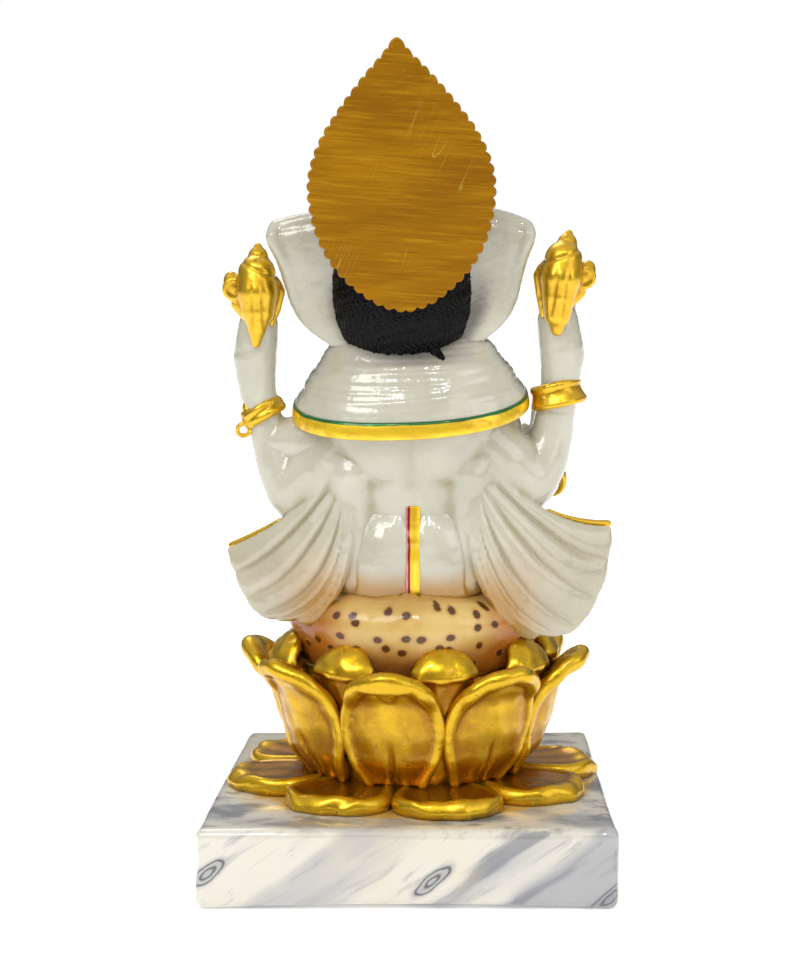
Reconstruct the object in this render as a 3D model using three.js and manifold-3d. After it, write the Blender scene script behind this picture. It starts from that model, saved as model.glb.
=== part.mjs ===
// A seated elephant-headed deity on a lotus throne, a table statuette cast in marble dust and
// resin. Every casting is its own solid, set into its neighbours by spigots, pegs and sockets.
// Millimetres. The origin is the centre of the plinth's underside, +Z is up, the figure faces -Y
// and its own left hand is on +X.
import * as THREE from "three";
import { ConvexGeometry } from "three/addons/geometries/ConvexGeometry.js";
import { mergeVertices } from "three/addons/utils/BufferGeometryUtils.js";
import Module from "manifold-3d";

const wasm = await Module();
wasm.setup();

// ---------- driving dimensions ----------
const glueGap = 0.3; // between any two castings that meet
const facets = 20; // sides of a turned piece

const plinth = {
  width: 149,
  depth: 124,
  height: 29.3,
  corner: 4, // radius of the upright corners
  bevel: 3, // softened edge round the top
  footBevel: 1.2,
  leftSlant: 12, // how far the left face leans in towards the front, at the top
  rightSlant: 2.5,
};

const lotus = {
  width: 134, // across the tips of the lowest petals
  depth: 101,
  shift: -3, // the throne stands a little to the figure's right of the plinth's middle
  petals: 8, // in each of the three rings
  coreRadius: 36,
  coreFlare: 5.5, // how much wider the core is at its top
  coreHeight: 45,
  spigotRadius: 22,
  spigotDepth: 5,
};

// Each ring: the petals' turn, where they start and end in height, radii at root, belly and lip.
const rings = {
  lower: { turn: 13, thickness: 7, tipLift: 3, halfAngle: 21.6 },
  middle: { turn: -10, top: 51, heel: 17, standOff: 6.5, belly: 8.5, lipFlare: 10, thickness: 4.2, halfAngle: 21.8 },
  upper: { turn: 13, foot: 28, top: 60.5, heel: 20, standOff: 0, belly: 1.2, lipFlare: 4.2, thickness: 4.2, halfAngle: 20.5 },
};

const seat = {
  radius: 46,
  height: 30, // from the core's top to the top of the cushion
  bulgeRise: 16.5, // from the core's top to the widest place, which clears the upper petals' lips
  spigotRadius: 24,
  spigotDepth: 4.5,
};

const torso = {
  // radius and height above the seat, from the hips to the neck
  outline: [
    [26.5, 0], [28, 10], [27, 21], [25, 31], [28, 40], [36, 57.5], [37.6, 62.5], [27.7, 78.5], [22.7, 86.5],
  ],
  depthShare: 0.75,
  shift: 1.5, // the figure's middle, from the throne's
  tenonRadius: 13,
  tenonDepth: 6,
};
const belly = { radius: 26.5, forward: 15, height: 33 };

const cloth = {
  shawlThickness: 3,
  shawlFoot: 57.5,
  borderHeight: 7,
  borderProud: 0.8,
  frontOpening: 38, // degrees each side of the front that the shawl leaves bare
  dhotiThickness: 2.6,
  dhotiTop: 32,
  pleatWidth: 5.2,
  pleatThickness: 1.2,
  wingThickness: 4.5,
  edgeThickness: 2,
  edgeHeight: 2.2,
};

// Limbs are chains of balls: x, y, z above the seat, radius. Left is +X.
const limbs = {
  leftRear: [[27, 5, 51, 9.5], [47, 2, 36, 10.6], [53.4, 0, 62, 6.1], [54.6, 0, 80, 7.4], [54, 1, 93, 7.8]],
  rightRear: [[-27, 5, 53, 9.5], [-49.5, 2, 40.5, 10.6], [-55, 0, 70, 6.1], [-55.6, 0, 87, 7.8], [-53.5, 1, 99, 7.6]],
  leftFront: [[29, -13, 53, 8.5], [41, -24, 37, 8], [36, -41, 36, 5.4], [31, -48, 43.5, 6.2]],
  rightFront: [[-29, -13, 53, 8.5], [-45, -21, 36, 8], [-49, -34, 32.5, 5.4], [-45, -43, 42, 6.4], [-41, -47, 56, 4.4]],
  leftLeg: [[15, -6, 13.5, 12.5], [45, -25, 11.5, 10.6], [12, -37, 8.2, 7.2], [-5, -39, 6.4, 5.6]],
  rightLeg: [[-15, -6, 13.5, 12.5], [-46, -25, 11.5, 10.6], [-14, -48, 9, 7.4], [4, -52, 7.4, 6]],
  trunk: [[0, -21, 110, 10.5], [1, -33, 99, 9.4], [3, -39.5, 85, 8], [5, -43, 71, 6.9], [11, -47, 60.5, 5.7], [21, -50, 57, 4.4]],
  leftTusk: [[9.5, -29, 97, 2.7], [12, -36, 94.5, 2.3]],
  rightTusk: [[-8.5, -29, 97, 2.7], [-11.5, -41, 93.5, 1.2]],
};
const pegRadius = 3.6;
const pegDepth = 9;

const bracelet = { ringRadius: 7.4, wire: 2 };
const sweet = { radius: 6.2, place: [30.5, -49.5, 54.5] };

const head = {
  width: 46,
  depth: 40,
  height: 50,
  centre: [0, -3, 111.5],
  tilt: 2, // degrees, towards the figure's left
  dowelRadius: 7,
  dowelDepth: 8,
  bossRadius: 9, // carries the crown
  bossHeight: 5,
};
const ear = { thickness: 5.2, rootX: 19, outer: [[50.4, 9, 131.5], [48.6, 4, 121], [42.5, 3, 107], [34, 6, 96], [26.5, 10, 89.5]] };
const hair = { thickness: 4.4, foot: 84.5, top: 126, frontY: 5, shift: 1.5 };

const crown = {
  // radius and height above the crown's rim
  outline: [[22.5, 0], [23.2, 3], [21, 7], [19.5, 22], [20.4, 25], [13.5, 38], [14.4, 41], [6, 53], [2.4, 60]],
  rim: 124.5,
  depthShare: 0.84,
};

const halo = {
  width: 66,
  height: 95,
  foot: 102, // height of its lowest point above the seat
  shift: 1.2,
  thickness: 3.6,
  backY: 26.5,
  scallops: 40,
  scallopDepth: 1.3,
  lugRadius: 4,
  // share of the height, share of the half width
  leaf: [[0, 0], [0.055, 0.35], [0.126, 0.64], [0.234, 0.86], [0.342, 0.96], [0.468, 1],
    [0.594, 0.91], [0.7, 0.73], [0.845, 0.41], [0.93, 0.18], [1, 0]],
};

// ---------- worked out from them ----------
const lotusShare = lotus.depth / lotus.width;
const seatTop = lotus.coreHeight + seat.height;
const coreTopRadius = lotus.coreRadius + lotus.coreFlare;
const middleFoot = rings.lower.thickness + 2 * glueGap; // on top of the lowest petals
const degrees = Math.PI / 180;

// ---------- solids ----------
// A closed geometry as a solid that can be joined and cut, with its faces pointing out.
function solidOf(geometry) {
  const bare = geometry.index ? geometry.toNonIndexed() : geometry.clone();
  bare.deleteAttribute("normal");
  bare.deleteAttribute("uv");
  const merged = mergeVertices(bare, 1e-4);
  const triVerts = new Uint32Array(merged.index.array);
  const vertProperties = merged.attributes.position.array;
  const made = new wasm.Manifold(new wasm.Mesh({ numProp: 3, vertProperties, triVerts }));
  if (made.volume() > 0) return made;
  return new wasm.Manifold(new wasm.Mesh({ numProp: 3, vertProperties, triVerts: triVerts.reverse() }));
}

function geometryOf(solid) {
  const mesh = solid.getMesh();
  const corners = new Float32Array(mesh.numVert * 3);
  for (let i = 0; i < mesh.numVert; i++) {
    corners.set(mesh.vertProperties.subarray(i * mesh.numProp, i * mesh.numProp + 3), i * 3);
  }
  const geometry = new THREE.BufferGeometry();
  geometry.setAttribute("position", new THREE.BufferAttribute(corners, 3));
  geometry.setIndex(new THREE.BufferAttribute(mesh.triVerts, 1));
  geometry.computeVertexNormals();
  return geometry;
}

const joined = (...solids) => solids.reduce((sum, each) => sum.add(each));
const carved = (solid, ...cutters) => cutters.reduce((rest, each) => rest.subtract(each), solid);
const largest = (solid) => solid.decompose().sort((a, b) => b.volume() - a.volume())[0];
const lerp = THREE.MathUtils.lerp;

// A profile of [radius, height] turned about Z. It starts and ends on the axis.
function turned(profile, depthShare = 1) {
  const points = profile.map(([radius, height]) => new THREE.Vector2(radius, height));
  return new THREE.LatheGeometry(points, facets).rotateX(Math.PI / 2).scale(1, depthShare, 1);
}

function cylinder(radius, from, to, sides = 16) {
  const span = new THREE.Vector3().subVectors(to, from);
  const rod = new THREE.CylinderGeometry(radius, radius, span.length(), sides);
  const turn = new THREE.Quaternion().setFromUnitVectors(new THREE.Vector3(0, 1, 0), span.clone().normalize());
  return rod.applyQuaternion(turn).translate(...from.clone().addScaledVector(span, 0.5).toArray());
}

function ellipsoid([x, y, z], rx, ry, rz) {
  return new THREE.SphereGeometry(1, 12, 7).rotateX(Math.PI / 2).scale(rx, ry, rz).translate(x, y, z);
}

// The corners of a ball, for a hull.
function ballCorners([x, y, z, radius], grow) {
  const ball = new THREE.IcosahedronGeometry(radius + grow, 1);
  const found = new Map();
  for (let i = 0; i < ball.attributes.position.count; i++) {
    const corner = new THREE.Vector3().fromBufferAttribute(ball.attributes.position, i);
    found.set(corner.toArray().map((c) => c.toFixed(3)).join(), corner.add(new THREE.Vector3(x, y, z)));
  }
  return [...found.values()];
}

// A chain of balls, each pair wrapped in a tight skin.
function limb(chain, grow = 0, place = (geometry) => geometry) {
  const links = chain.slice(1).map((ball, i) => {
    const skin = new ConvexGeometry([...ballCorners(chain[i], grow), ...ballCorners(ball, grow)]);
    return solidOf(place(skin));
  });
  return joined(...links);
}

// A closed slab between two sheets, each a function of u and v from 0 to 1.
function slab(face, back, uSteps, vSteps) {
  const corners = [];
  const index = [];
  const perSheet = (uSteps + 1) * (vSteps + 1);
  const at = (sheet, i, j) => sheet * perSheet + j * (uSteps + 1) + i;
  for (const sheet of [face, back]) {
    for (let j = 0; j <= vSteps; j++) {
      for (let i = 0; i <= uSteps; i++) corners.push(...sheet(i / uSteps, j / vSteps));
    }
  }
  const quad = (a, b, c, d) => index.push(a, b, c, a, c, d);
  for (let j = 0; j < vSteps; j++) {
    for (let i = 0; i < uSteps; i++) {
      quad(at(0, i, j), at(0, i + 1, j), at(0, i + 1, j + 1), at(0, i, j + 1));
      quad(at(1, i, j), at(1, i, j + 1), at(1, i + 1, j + 1), at(1, i + 1, j));
    }
  }
  for (let i = 0; i < uSteps; i++) {
    quad(at(0, i, 0), at(1, i, 0), at(1, i + 1, 0), at(0, i + 1, 0));
    quad(at(0, i + 1, vSteps), at(1, i + 1, vSteps), at(1, i, vSteps), at(0, i, vSteps));
  }
  for (let j = 0; j < vSteps; j++) {
    quad(at(0, 0, j + 1), at(1, 0, j + 1), at(1, 0, j), at(0, 0, j));
    quad(at(0, uSteps, j), at(1, uSteps, j), at(1, uSteps, j + 1), at(0, uSteps, j + 1));
  }
  const geometry = new THREE.BufferGeometry();
  geometry.setAttribute("position", new THREE.Float32BufferAttribute(corners, 3));
  geometry.setIndex(index);
  return geometry;
}

// ---------- the plinth, in the part's own frame ----------
// A four-sided outline with round corners, as points at one height.
function plinthOutline(inset, slantShare, height) {
  const [w, d, r] = [plinth.width / 2 - inset, plinth.depth / 2 - inset, plinth.corner];
  const corners = [
    [w, d, 0],
    [-w, d, 90],
    [-w + plinth.rightSlant * slantShare, -d, 180],
    [w - plinth.leftSlant * slantShare, -d, 270],
  ];
  return corners.flatMap(([x, y, from]) =>
    [0, 30, 60, 90].map((step) => {
      const angle = (from + step) * degrees;
      const [cx, cy] = [x - r * Math.sign(x), y - r * Math.sign(y)];
      return new THREE.Vector3(cx + r * Math.cos(angle), cy + r * Math.sin(angle), height);
    }),
  );
}

function plinthSolid() {
  const block = new ConvexGeometry([
    ...plinthOutline(plinth.footBevel, 0, 0),
    ...plinthOutline(0, 0, plinth.footBevel),
    ...plinthOutline(0, 1, plinth.height - plinth.bevel),
    ...plinthOutline(plinth.bevel, 1, plinth.height),
  ]);
  const recess = turned(
    [[0, -lotus.spigotDepth - glueGap], [lotus.spigotRadius + glueGap, -lotus.spigotDepth - glueGap],
      [lotus.spigotRadius + glueGap, 1], [0, 1]],
    lotusShare,
  ).translate(lotus.shift, 0, plinth.height);
  return carved(solidOf(block), solidOf(recess));
}

// ---------- the lotus, above the plinth's top ----------
function coreRadiusAt(height) {
  return lotus.coreRadius + lotus.coreFlare * THREE.MathUtils.clamp(height / lotus.coreHeight, 0, 1);
}

function lotusCoreSolid() {
  const recess = seat.spigotRadius + glueGap;
  return solidOf(
    turned(
      [[0, -lotus.spigotDepth], [lotus.spigotRadius, -lotus.spigotDepth], [lotus.spigotRadius, glueGap],
        [lotus.coreRadius, glueGap], [coreTopRadius, lotus.coreHeight], [recess, lotus.coreHeight],
        [recess, lotus.coreHeight - seat.spigotDepth - glueGap], [0, lotus.coreHeight - seat.spigotDepth - glueGap]],
      lotusShare,
    ),
  );
}

// A point at an angle from the back, a radius and a height, on the lotus's oval.
function onOval(angle, radius, height) {
  return [-radius * Math.sin(angle * degrees), radius * Math.cos(angle * degrees) * lotusShare, height];
}

// How much of its full width a petal has, from its root at 0 to its rounded tip at 1.
const petalWidth = (v) => Math.sqrt(Math.max(0.02, 1 - Math.max(0, (v - 0.45) / 0.55) ** 2)) * lerp(0.72, 1, Math.min(1, v / 0.45));

function lowerPetal(turn) {
  const { thickness, tipLift, halfAngle } = rings.lower;
  const root = lotus.coreRadius + 3;
  const tip = lotus.width / 2;
  const point = (u, v, height) => {
    const radius = lerp(root, tip, v);
    const spread = (halfAngle * petalWidth(v) * lerp(0.98, 0.9, v)) * (2 * u - 1);
    return onOval(turn + spread, radius * (1 - 0.05 * (2 * u - 1) ** 2), height);
  };
  const crest = (u, v) => glueGap + thickness * lerp(1, 0.55, v) * (1 - 0.25 * (2 * u - 1) ** 2) + tipLift * v * v;
  return solidOf(slab((u, v) => point(u, v, crest(u, v)), (u, v) => point(u, v, glueGap), 4, 4));
}

// A cupped petal: its heel is solid back to the core, and above the heel it stands clear of it.
function standingPetal(ring, foot, turn) {
  const { top, heel, standOff, belly: swell, lipFlare, thickness, halfAngle } = ring;
  const point = (u, v, outside) => {
    const across = 2 * u - 1;
    const height = lerp(foot, top, v) - (top - foot) * 0.12 * across * across * v;
    const flare = swell * Math.sin(Math.PI * Math.min(1, v * 1.15)) + lipFlare * v ** 4;
    const clear = standOff + flare * (1 - 0.25 * across * across);
    const hollow = THREE.MathUtils.smoothstep(height, heel - 5, heel + 3);
    const out = outside ? clear + thickness : clear * hollow;
    return onOval(turn + halfAngle * petalWidth(v) * across, coreRadiusAt(height) + glueGap + out, height);
  };
  return solidOf(slab((u, v) => point(u, v, true), (u, v) => point(u, v, false), 4, 5));
}

// The cushion rises from the core's recess and swells over the upper petals' lips.
function seatProfile(grow = 0) {
  const low = lotus.coreHeight + glueGap;
  const r = seat.radius + grow;
  const foot = coreTopRadius - 3 + grow;
  const bulge = lotus.coreHeight + seat.bulgeRise;
  const crown = (share) => lerp(bulge, seatTop, share);
  return [
    [0, lotus.coreHeight - seat.spigotDepth], [seat.spigotRadius + grow, lotus.coreHeight - seat.spigotDepth],
    [seat.spigotRadius + grow, low], [foot, low], [foot + 0.5, bulge - 3.5], [r, bulge], [r - 0.8, crown(0.3)],
    [r - 5, crown(0.67) + grow], [r - 13, crown(0.93) + grow], [r - 22, seatTop + grow], [0, seatTop + grow],
  ];
}

// ---------- the figure, above the seat's top ----------
const figureBase = new THREE.Vector3(lotus.shift + torso.shift, 0, plinth.height + seatTop);

// The torso's outline, grown outwards all round, between two heights.
function bodyOutline(grow, from = -Infinity, to = Infinity) {
  const inside = torso.outline.filter(([, z]) => z > from && z < to).map(([r, z]) => [r + grow, z]);
  const ends = [from, to].filter(Number.isFinite).map((z) => [bodyRadius(z) + grow, z]);
  return ends.length === 2 ? [ends[0], ...inside, ends[1]] : inside;
}

function bodyRadius(height) {
  const after = torso.outline.findIndex(([, z]) => z >= height);
  if (after <= 0) return after < 0 ? torso.outline.at(-1)[0] : torso.outline[0][0];
  const [[r0, z0], [r1, z1]] = [torso.outline[after - 1], torso.outline[after]];
  return lerp(r0, r1, (height - z0) / (z1 - z0));
}

function torsoSolid(grow = 0) {
  const outline = bodyOutline(grow);
  const low = outline[0][1] + glueGap - grow;
  const high = outline.at(-1)[1] + grow;
  outline[0] = [outline[0][0], low];
  outline[outline.length - 1] = [outline.at(-1)[0], high];
  const trunkOfBody = turned([[0, low], ...outline, [0, high]], torso.depthShare);
  const stomach = belly.radius + grow;
  return joined(
    solidOf(trunkOfBody),
    solidOf(ellipsoid([0, -belly.forward, belly.height], stomach, stomach, stomach)),
  );
}

// A wrap that lies on the body between two heights.
function wrap(inner, outer, from, to) {
  const inside = bodyOutline(inner, from, to);
  const outside = bodyOutline(outer, from, to).reverse();
  return turned([...inside, ...outside, inside[0]], torso.depthShare);
}

// A wedge from the axis towards the front, taller than the shawl, that leaves the chest bare.
function frontWedge(halfAngle) {
  const reach = 90;
  const wide = reach * Math.tan(halfAngle * degrees);
  const outline = new THREE.Shape([new THREE.Vector2(0, 0), new THREE.Vector2(-wide, -reach), new THREE.Vector2(wide, -reach)]);
  return new THREE.ExtrudeGeometry(outline, { depth: 200, bevelEnabled: false });
}

function backPleat() {
  const half = cloth.pleatWidth / 2;
  const face = (u, v, out) => {
    const z = lerp(1.2, cloth.dhotiTop + 0.6, v);
    const x = lerp(-half, half, u);
    const radius = bodyRadius(z) + cloth.dhotiThickness + out;
    return [x - 1, Math.sqrt(1 - (x / radius) ** 2) * radius * torso.depthShare, z];
  };
  return slab((u, v) => face(u, v, glueGap + cloth.pleatThickness), (u, v) => face(u, v, -glueGap), 1, 6);
}

// The shawl's flared ends: the crest's outer tip, the hem's outer corner and the crest's middle.
const wings = {
  left: { tip: [65.5, 3, 12.5], low: [52, 16, -15.5], crest: [36, 14, 34] },
  right: { tip: [-72, 4, 21], low: [-60, 14, -18], crest: [-36, 14, 35] },
};

// A point on a wing, from the body at u = 0 out to its edge, and from the crest down to the hem.
function wingPoint(wing, side, u, v) {
  const curve = (points) => new THREE.QuadraticBezierCurve3(...points.map((p) => new THREE.Vector3(...p)));
  const crest = curve([[side * 16, 15, 41], wing.crest, wing.tip]).getPoint(u);
  const hem = curve([[side * 22, 20, -3], [side * 42, 31, -9], wing.low]).getPoint(u);
  const point = crest.lerp(hem, v);
  point.x += side * 3.2 * Math.sin(Math.PI * v) * u;
  point.y += 1.2 * Math.sin(v * 5 * Math.PI) * u;
  return point.toArray();
}

function wingSolid(wing, side, grow = 0) {
  const half = cloth.wingThickness / 2 + grow;
  const sheet = (offset) => (u, v) => {
    const [x, y, z] = wingPoint(wing, side, u, v);
    return [x + side * grow * u, y + offset, z + grow * (1 - 2 * v)];
  };
  return solidOf(slab(sheet(half), sheet(-half), 5, 10));
}

// The gilt bead along the crest of a wing, from the elbow to the tip.
function wingEdge(wing, side) {
  const half = cloth.edgeThickness / 2 + 0.6;
  const rise = (height) => (u, v) => {
    const [x, y, z] = wingPoint(wing, side, lerp(0.5, 1, v), 0);
    return [x, y + lerp(-half, half, u), z + height];
  };
  return slab(rise(glueGap + cloth.edgeHeight), rise(-glueGap), 1, 5);
}

// ---------- the head, tilted about the neck ----------
const neck = new THREE.Vector3(0, 0, torso.outline.at(-1)[1]);
const headTurn = new THREE.Matrix4()
  .makeTranslation(neck)
  .multiply(new THREE.Matrix4().makeRotationY(head.tilt * degrees))
  .multiply(new THREE.Matrix4().makeTranslation(neck.clone().negate()));
const onHead = (geometry) => geometry.applyMatrix4(headTurn);

function headSolid(grow = 0) {
  const [x, y, z] = head.centre;
  const skull = ellipsoid(head.centre, head.width / 2 + grow, head.depth / 2 + grow, head.height / 2 + grow);
  const brow = (side) => ellipsoid([side * 8.5, y - 8, z + 9], 12 + grow, 13 + grow, 13 + grow);
  const muzzle = ellipsoid([x, y - 15, z - 4], 14 + grow, 13 + grow, 15 + grow);
  return joined(...[skull, brow(-1), brow(1), muzzle].map((each) => solidOf(onHead(each))));
}

function earSolid(side, grow = 0) {
  const rim = new THREE.CatmullRomCurve3(ear.outer.map(([x, y, z]) => new THREE.Vector3(side * x, y, z)));
  const half = ear.thickness / 2 + grow;
  const point = (u, v) => {
    const root = new THREE.Vector3(side * ear.rootX, 7, lerp(136, 90, v));
    const edge = rim.getPoint(v);
    const spot = root.lerp(edge, u);
    spot.z += 2.5 * Math.sin(Math.PI * u) * (1 - v);
    spot.y -= 3 * Math.sin(Math.PI * u) * Math.sin(Math.PI * v);
    return spot;
  };
  const sheet = (offset) => (u, v) => {
    const spot = point(u, v);
    const thin = 1 - 0.35 * u * u;
    return [spot.x + side * grow * u, spot.y + offset * thin, spot.z + grow * (1 - 2 * v)];
  };
  return solidOf(onHead(slab(sheet(half), sheet(-half), 6, 9)));
}

function hairSolid() {
  const [x, y, z] = head.centre;
  const more = hair.thickness;
  const mass = ellipsoid([x + hair.shift, y, z - 1], head.width / 2 + more, head.depth / 2 + more, head.height / 2 + more);
  const window = new THREE.BoxGeometry(90, 60, hair.top - hair.foot)
    .translate(0, hair.frontY + 30, (hair.top + hair.foot) / 2);
  return solidOf(onHead(mass)).intersect(solidOf(onHead(window)));
}

function crownSolid(grow = 0) {
  const profile = crown.outline.map(([r, z]) => [r + grow, z + crown.rim]);
  const [low, high] = [profile[0][1] - grow, profile.at(-1)[1] + grow];
  profile[0][1] = low;
  return solidOf(onHead(turned([[0, low], ...profile, [0, high + 2]], crown.depthShare).translate(0, head.centre[1], 0)));
}

// The halo's leaf outline, from its foot up one side to the point and down the other.
function haloOutline() {
  const side = halo.leaf.map(([rise, spread]) => new THREE.Vector2((spread * halo.width) / 2, rise * halo.height));
  const other = side.slice(1, -1).map(({ x, y }) => new THREE.Vector2(-x, y)).reverse();
  const leaf = new THREE.SplineCurve([...side, ...other, side[0]]);
  const middle = new THREE.Vector2(0, halo.height * 0.45);
  const steps = halo.scallops * 2;
  return leaf.getSpacedPoints(steps).slice(0, steps).map((point, i) => {
    const nearPoint = Math.abs(i / steps - 0.5) < 0.02;
    const bite = i % 2 && !nearPoint ? halo.scallopDepth : 0;
    return point.add(middle.clone().sub(point).setLength(bite));
  });
}

function haloSolid() {
  const plate = new THREE.ExtrudeGeometry(new THREE.Shape(haloOutline()), { depth: halo.thickness, bevelEnabled: false })
    .rotateX(Math.PI / 2)
    .translate(halo.shift, halo.backY, halo.foot);
  return solidOf(onHead(plate));
}

function neckChain() {
  const path = new THREE.CatmullRomCurve3(
    [[-17, 80], [-13.5, 73], [-7, 68], [0, 66], [7, 68], [13.5, 73], [17, 80]].map(([x, z]) => {
      const radius = bodyRadius(z) + 1.6;
      return new THREE.Vector3(x, -Math.sqrt(radius * radius - x * x) * torso.depthShare, z);
    }),
  );
  const bead = new THREE.Shape(Array.from({ length: 6 }, (_, i) => {
    const turn = (i * Math.PI) / 3;
    return new THREE.Vector2(1.9 * Math.cos(turn), 1.9 * Math.sin(turn));
  }));
  return solidOf(new THREE.ExtrudeGeometry(bead, { steps: 10, extrudePath: path, bevelEnabled: false }));
}

// A lotus blossom held in an upper hand: bud, hanging petal and two side petals.
function blossom(side, x, z) {
  const hanging = limb([[x, 9.5, z - 20, 1.9], [x, 7.5, z - 3, 7], [x - side * 0.5, 4, z + 8, 6]]);
  const bud = limb([[x - side * 0.5, 4, z + 8, 5.6], [x - side, 3, z + 14.5, 3]]);
  const outerPetal = solidOf(ellipsoid([x + side * 9.5, 2, z + 2], 5, 4.4, 7));
  const innerPetal = solidOf(ellipsoid([x - side * 6, 2.5, z - 1], 4, 4, 7.5));
  return joined(hanging, bud, outerPetal, innerPetal);
}

function braceletOn(chain, from, to, share) {
  const [a, b] = [chain[from], chain[to]].map(([x, y, z]) => new THREE.Vector3(x, y, z));
  const along = new THREE.Vector3().subVectors(b, a).normalize();
  const middle = a.clone().lerp(b, share);
  const ring = new THREE.TorusGeometry(bracelet.ringRadius, bracelet.wire, 5, 10);
  ring.applyQuaternion(new THREE.Quaternion().setFromUnitVectors(new THREE.Vector3(0, 0, 1), along));
  return carved(solidOf(ring.translate(...middle.toArray())), limb(chain, glueGap));
}

// A peg from a limb's first ball towards the body's axis.
function peg(chain, grow) {
  const [x, y, z, radius] = chain[0];
  const side = Math.sign(x);
  const from = new THREE.Vector3(x + side * (radius * 0.75), y, z);
  const to = new THREE.Vector3(x - side * (pegDepth + grow), y, z);
  return solidOf(cylinder(pegRadius + grow, from, to, 10));
}

// ---------- everything, cut to fit ----------
const onFigure = (solid) => geometryOf(solid).translate(...figureBase.toArray());
const seatAsSeenByFigure = solidOf(
  turned(seatProfile(glueGap), lotusShare).translate(-torso.shift, 0, -seatTop),
);
const grownTorso = torsoSolid(glueGap);
const shawlBand = (grow) => {
  const from = cloth.shawlFoot - grow;
  const to = torso.outline.at(-1)[1] + grow;
  const outer = glueGap + cloth.shawlThickness + cloth.borderProud + grow;
  return carved(solidOf(wrap(0, outer, Math.max(from, 1), to)), solidOf(frontWedge(cloth.frontOpening - grow)));
};
const grownShawl = shawlBand(glueGap);
const tenon = (grow) =>
  solidOf(cylinder(torso.tenonRadius + grow, new THREE.Vector3(0, 0, 10), new THREE.Vector3(0, 0, -torso.tenonDepth - grow)));
const dowel = (grow) =>
  solidOf(onHead(cylinder(head.dowelRadius + grow, neck.clone().setZ(neck.z + 12), neck.clone().setZ(neck.z - head.dowelDepth - grow))));
const boss = (grow) => {
  const top = head.centre[2] + head.height / 2;
  const [from, to] = [new THREE.Vector3(0, head.centre[1], top - 4), new THREE.Vector3(0, head.centre[1], top + head.bossHeight + grow)];
  return solidOf(onHead(cylinder(head.bossRadius + grow, from, to)));
};
const lug = (grow) => {
  const z = crown.rim + 12;
  const [from, to] = [new THREE.Vector3(0, 5, z), new THREE.Vector3(0, halo.backY - 1.2 + grow, z)];
  return solidOf(onHead(cylinder(halo.lugRadius + grow, from, to, 12)));
};

const armChains = [limbs.leftRear, limbs.rightRear, limbs.leftFront, limbs.rightFront];
const torsoCast = joined(carved(torsoSolid(), dowel(glueGap), ...armChains.map((chain) => peg(chain, glueGap))), tenon(0));
const arm = (chain, ...others) => {
  const trimmed = carved(limb(chain), grownTorso, grownShawl, ...others);
  const pinned = carved(peg(chain, 0), grownShawl);
  return joined(trimmed, pinned);
};
const rearArms = [arm(limbs.leftRear), arm(limbs.rightRear)];
const grownRear = [limb(limbs.leftRear, glueGap), limb(limbs.rightRear, glueGap)];
const frontArms = [arm(limbs.leftFront, grownRear[0]), arm(limbs.rightFront, grownRear[1])];
const grownFront = [limb(limbs.leftFront, glueGap), limb(limbs.rightFront, glueGap)];

const grownLegs = [limb(limbs.leftLeg, glueGap), limb(limbs.rightLeg, glueGap)];
const dhotiOuter = (grow) => solidOf(wrap(glueGap, glueGap + cloth.dhotiThickness + grow, 0.3, cloth.dhotiTop + grow));
const bareStomach = solidOf(ellipsoid([0, -belly.forward, belly.height], ...Array(3).fill(belly.radius + glueGap)));
const dhoti = carved(dhotiOuter(0), bareStomach, ...grownLegs);
const legs = [
  carved(limb(limbs.leftLeg), grownTorso, grownLegs[1], ...grownFront),
  carved(limb(limbs.rightLeg), grownTorso, ...grownFront),
];
const pleat = largest(carved(solidOf(backPleat()), dhotiOuter(glueGap), grownTorso));

const wingCutters = [grownTorso, dhotiOuter(glueGap), ...grownRear, ...grownFront, ...grownLegs, seatAsSeenByFigure];
const wingSolids = [
  largest(carved(wingSolid(wings.left, 1), ...wingCutters)),
  largest(carved(wingSolid(wings.right, -1), ...wingCutters)),
];
const wingEdges = [
  largest(carved(solidOf(wingEdge(wings.left, 1)), grownRear[0], wingSolid(wings.left, 1, glueGap))),
  largest(carved(solidOf(wingEdge(wings.right, -1)), grownRear[1], wingSolid(wings.right, -1, glueGap))),
];

const grownHead = headSolid(glueGap);
const grownTrunk = limb(limbs.trunk, glueGap, onHead);
const ears = [1, -1].map((side) => earSolid(side));
const grownEars = [1, -1].map((side) => earSolid(side, glueGap));
const blossoms = [blossom(1, 54, 108), blossom(-1, -53.5, 113.5)].map((flower, i) =>
  carved(flower, grownRear[i], grownEars[i]));
const headCast = joined(carved(headSolid(), grownTorso), dowel(0), boss(0));
const crownCast = joined(carved(crownSolid(), grownHead, boss(glueGap)), carved(lug(0), grownHead, boss(glueGap)));
const grownPlateZone = solidOf(onHead(new THREE.BoxGeometry(halo.width, halo.thickness + 2 * glueGap, 2 * halo.height)
  .translate(halo.shift, halo.backY - halo.thickness / 2, halo.foot + halo.height - glueGap)));
const grownCrown = crownSolid(glueGap);
const hairCast = carved(
  hairSolid(), grownHead, grownTorso, dowel(glueGap), grownShawl, ...grownEars, grownPlateZone, grownCrown,
);

const shawlCast = carved(
  solidOf(wrap(glueGap, glueGap + cloth.shawlThickness, cloth.shawlFoot + cloth.borderHeight + glueGap, torso.outline.at(-1)[1])),
  solidOf(frontWedge(cloth.frontOpening)), dowel(glueGap + 12),
);
const borderCast = carved(
  solidOf(wrap(glueGap, glueGap + cloth.shawlThickness + cloth.borderProud, cloth.shawlFoot, cloth.shawlFoot + cloth.borderHeight)),
  solidOf(frontWedge(cloth.frontOpening)),
);
const sweetBall = carved(solidOf(ellipsoid(sweet.place, sweet.radius, sweet.radius, sweet.radius)), grownTrunk, grownFront[0]);

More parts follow.
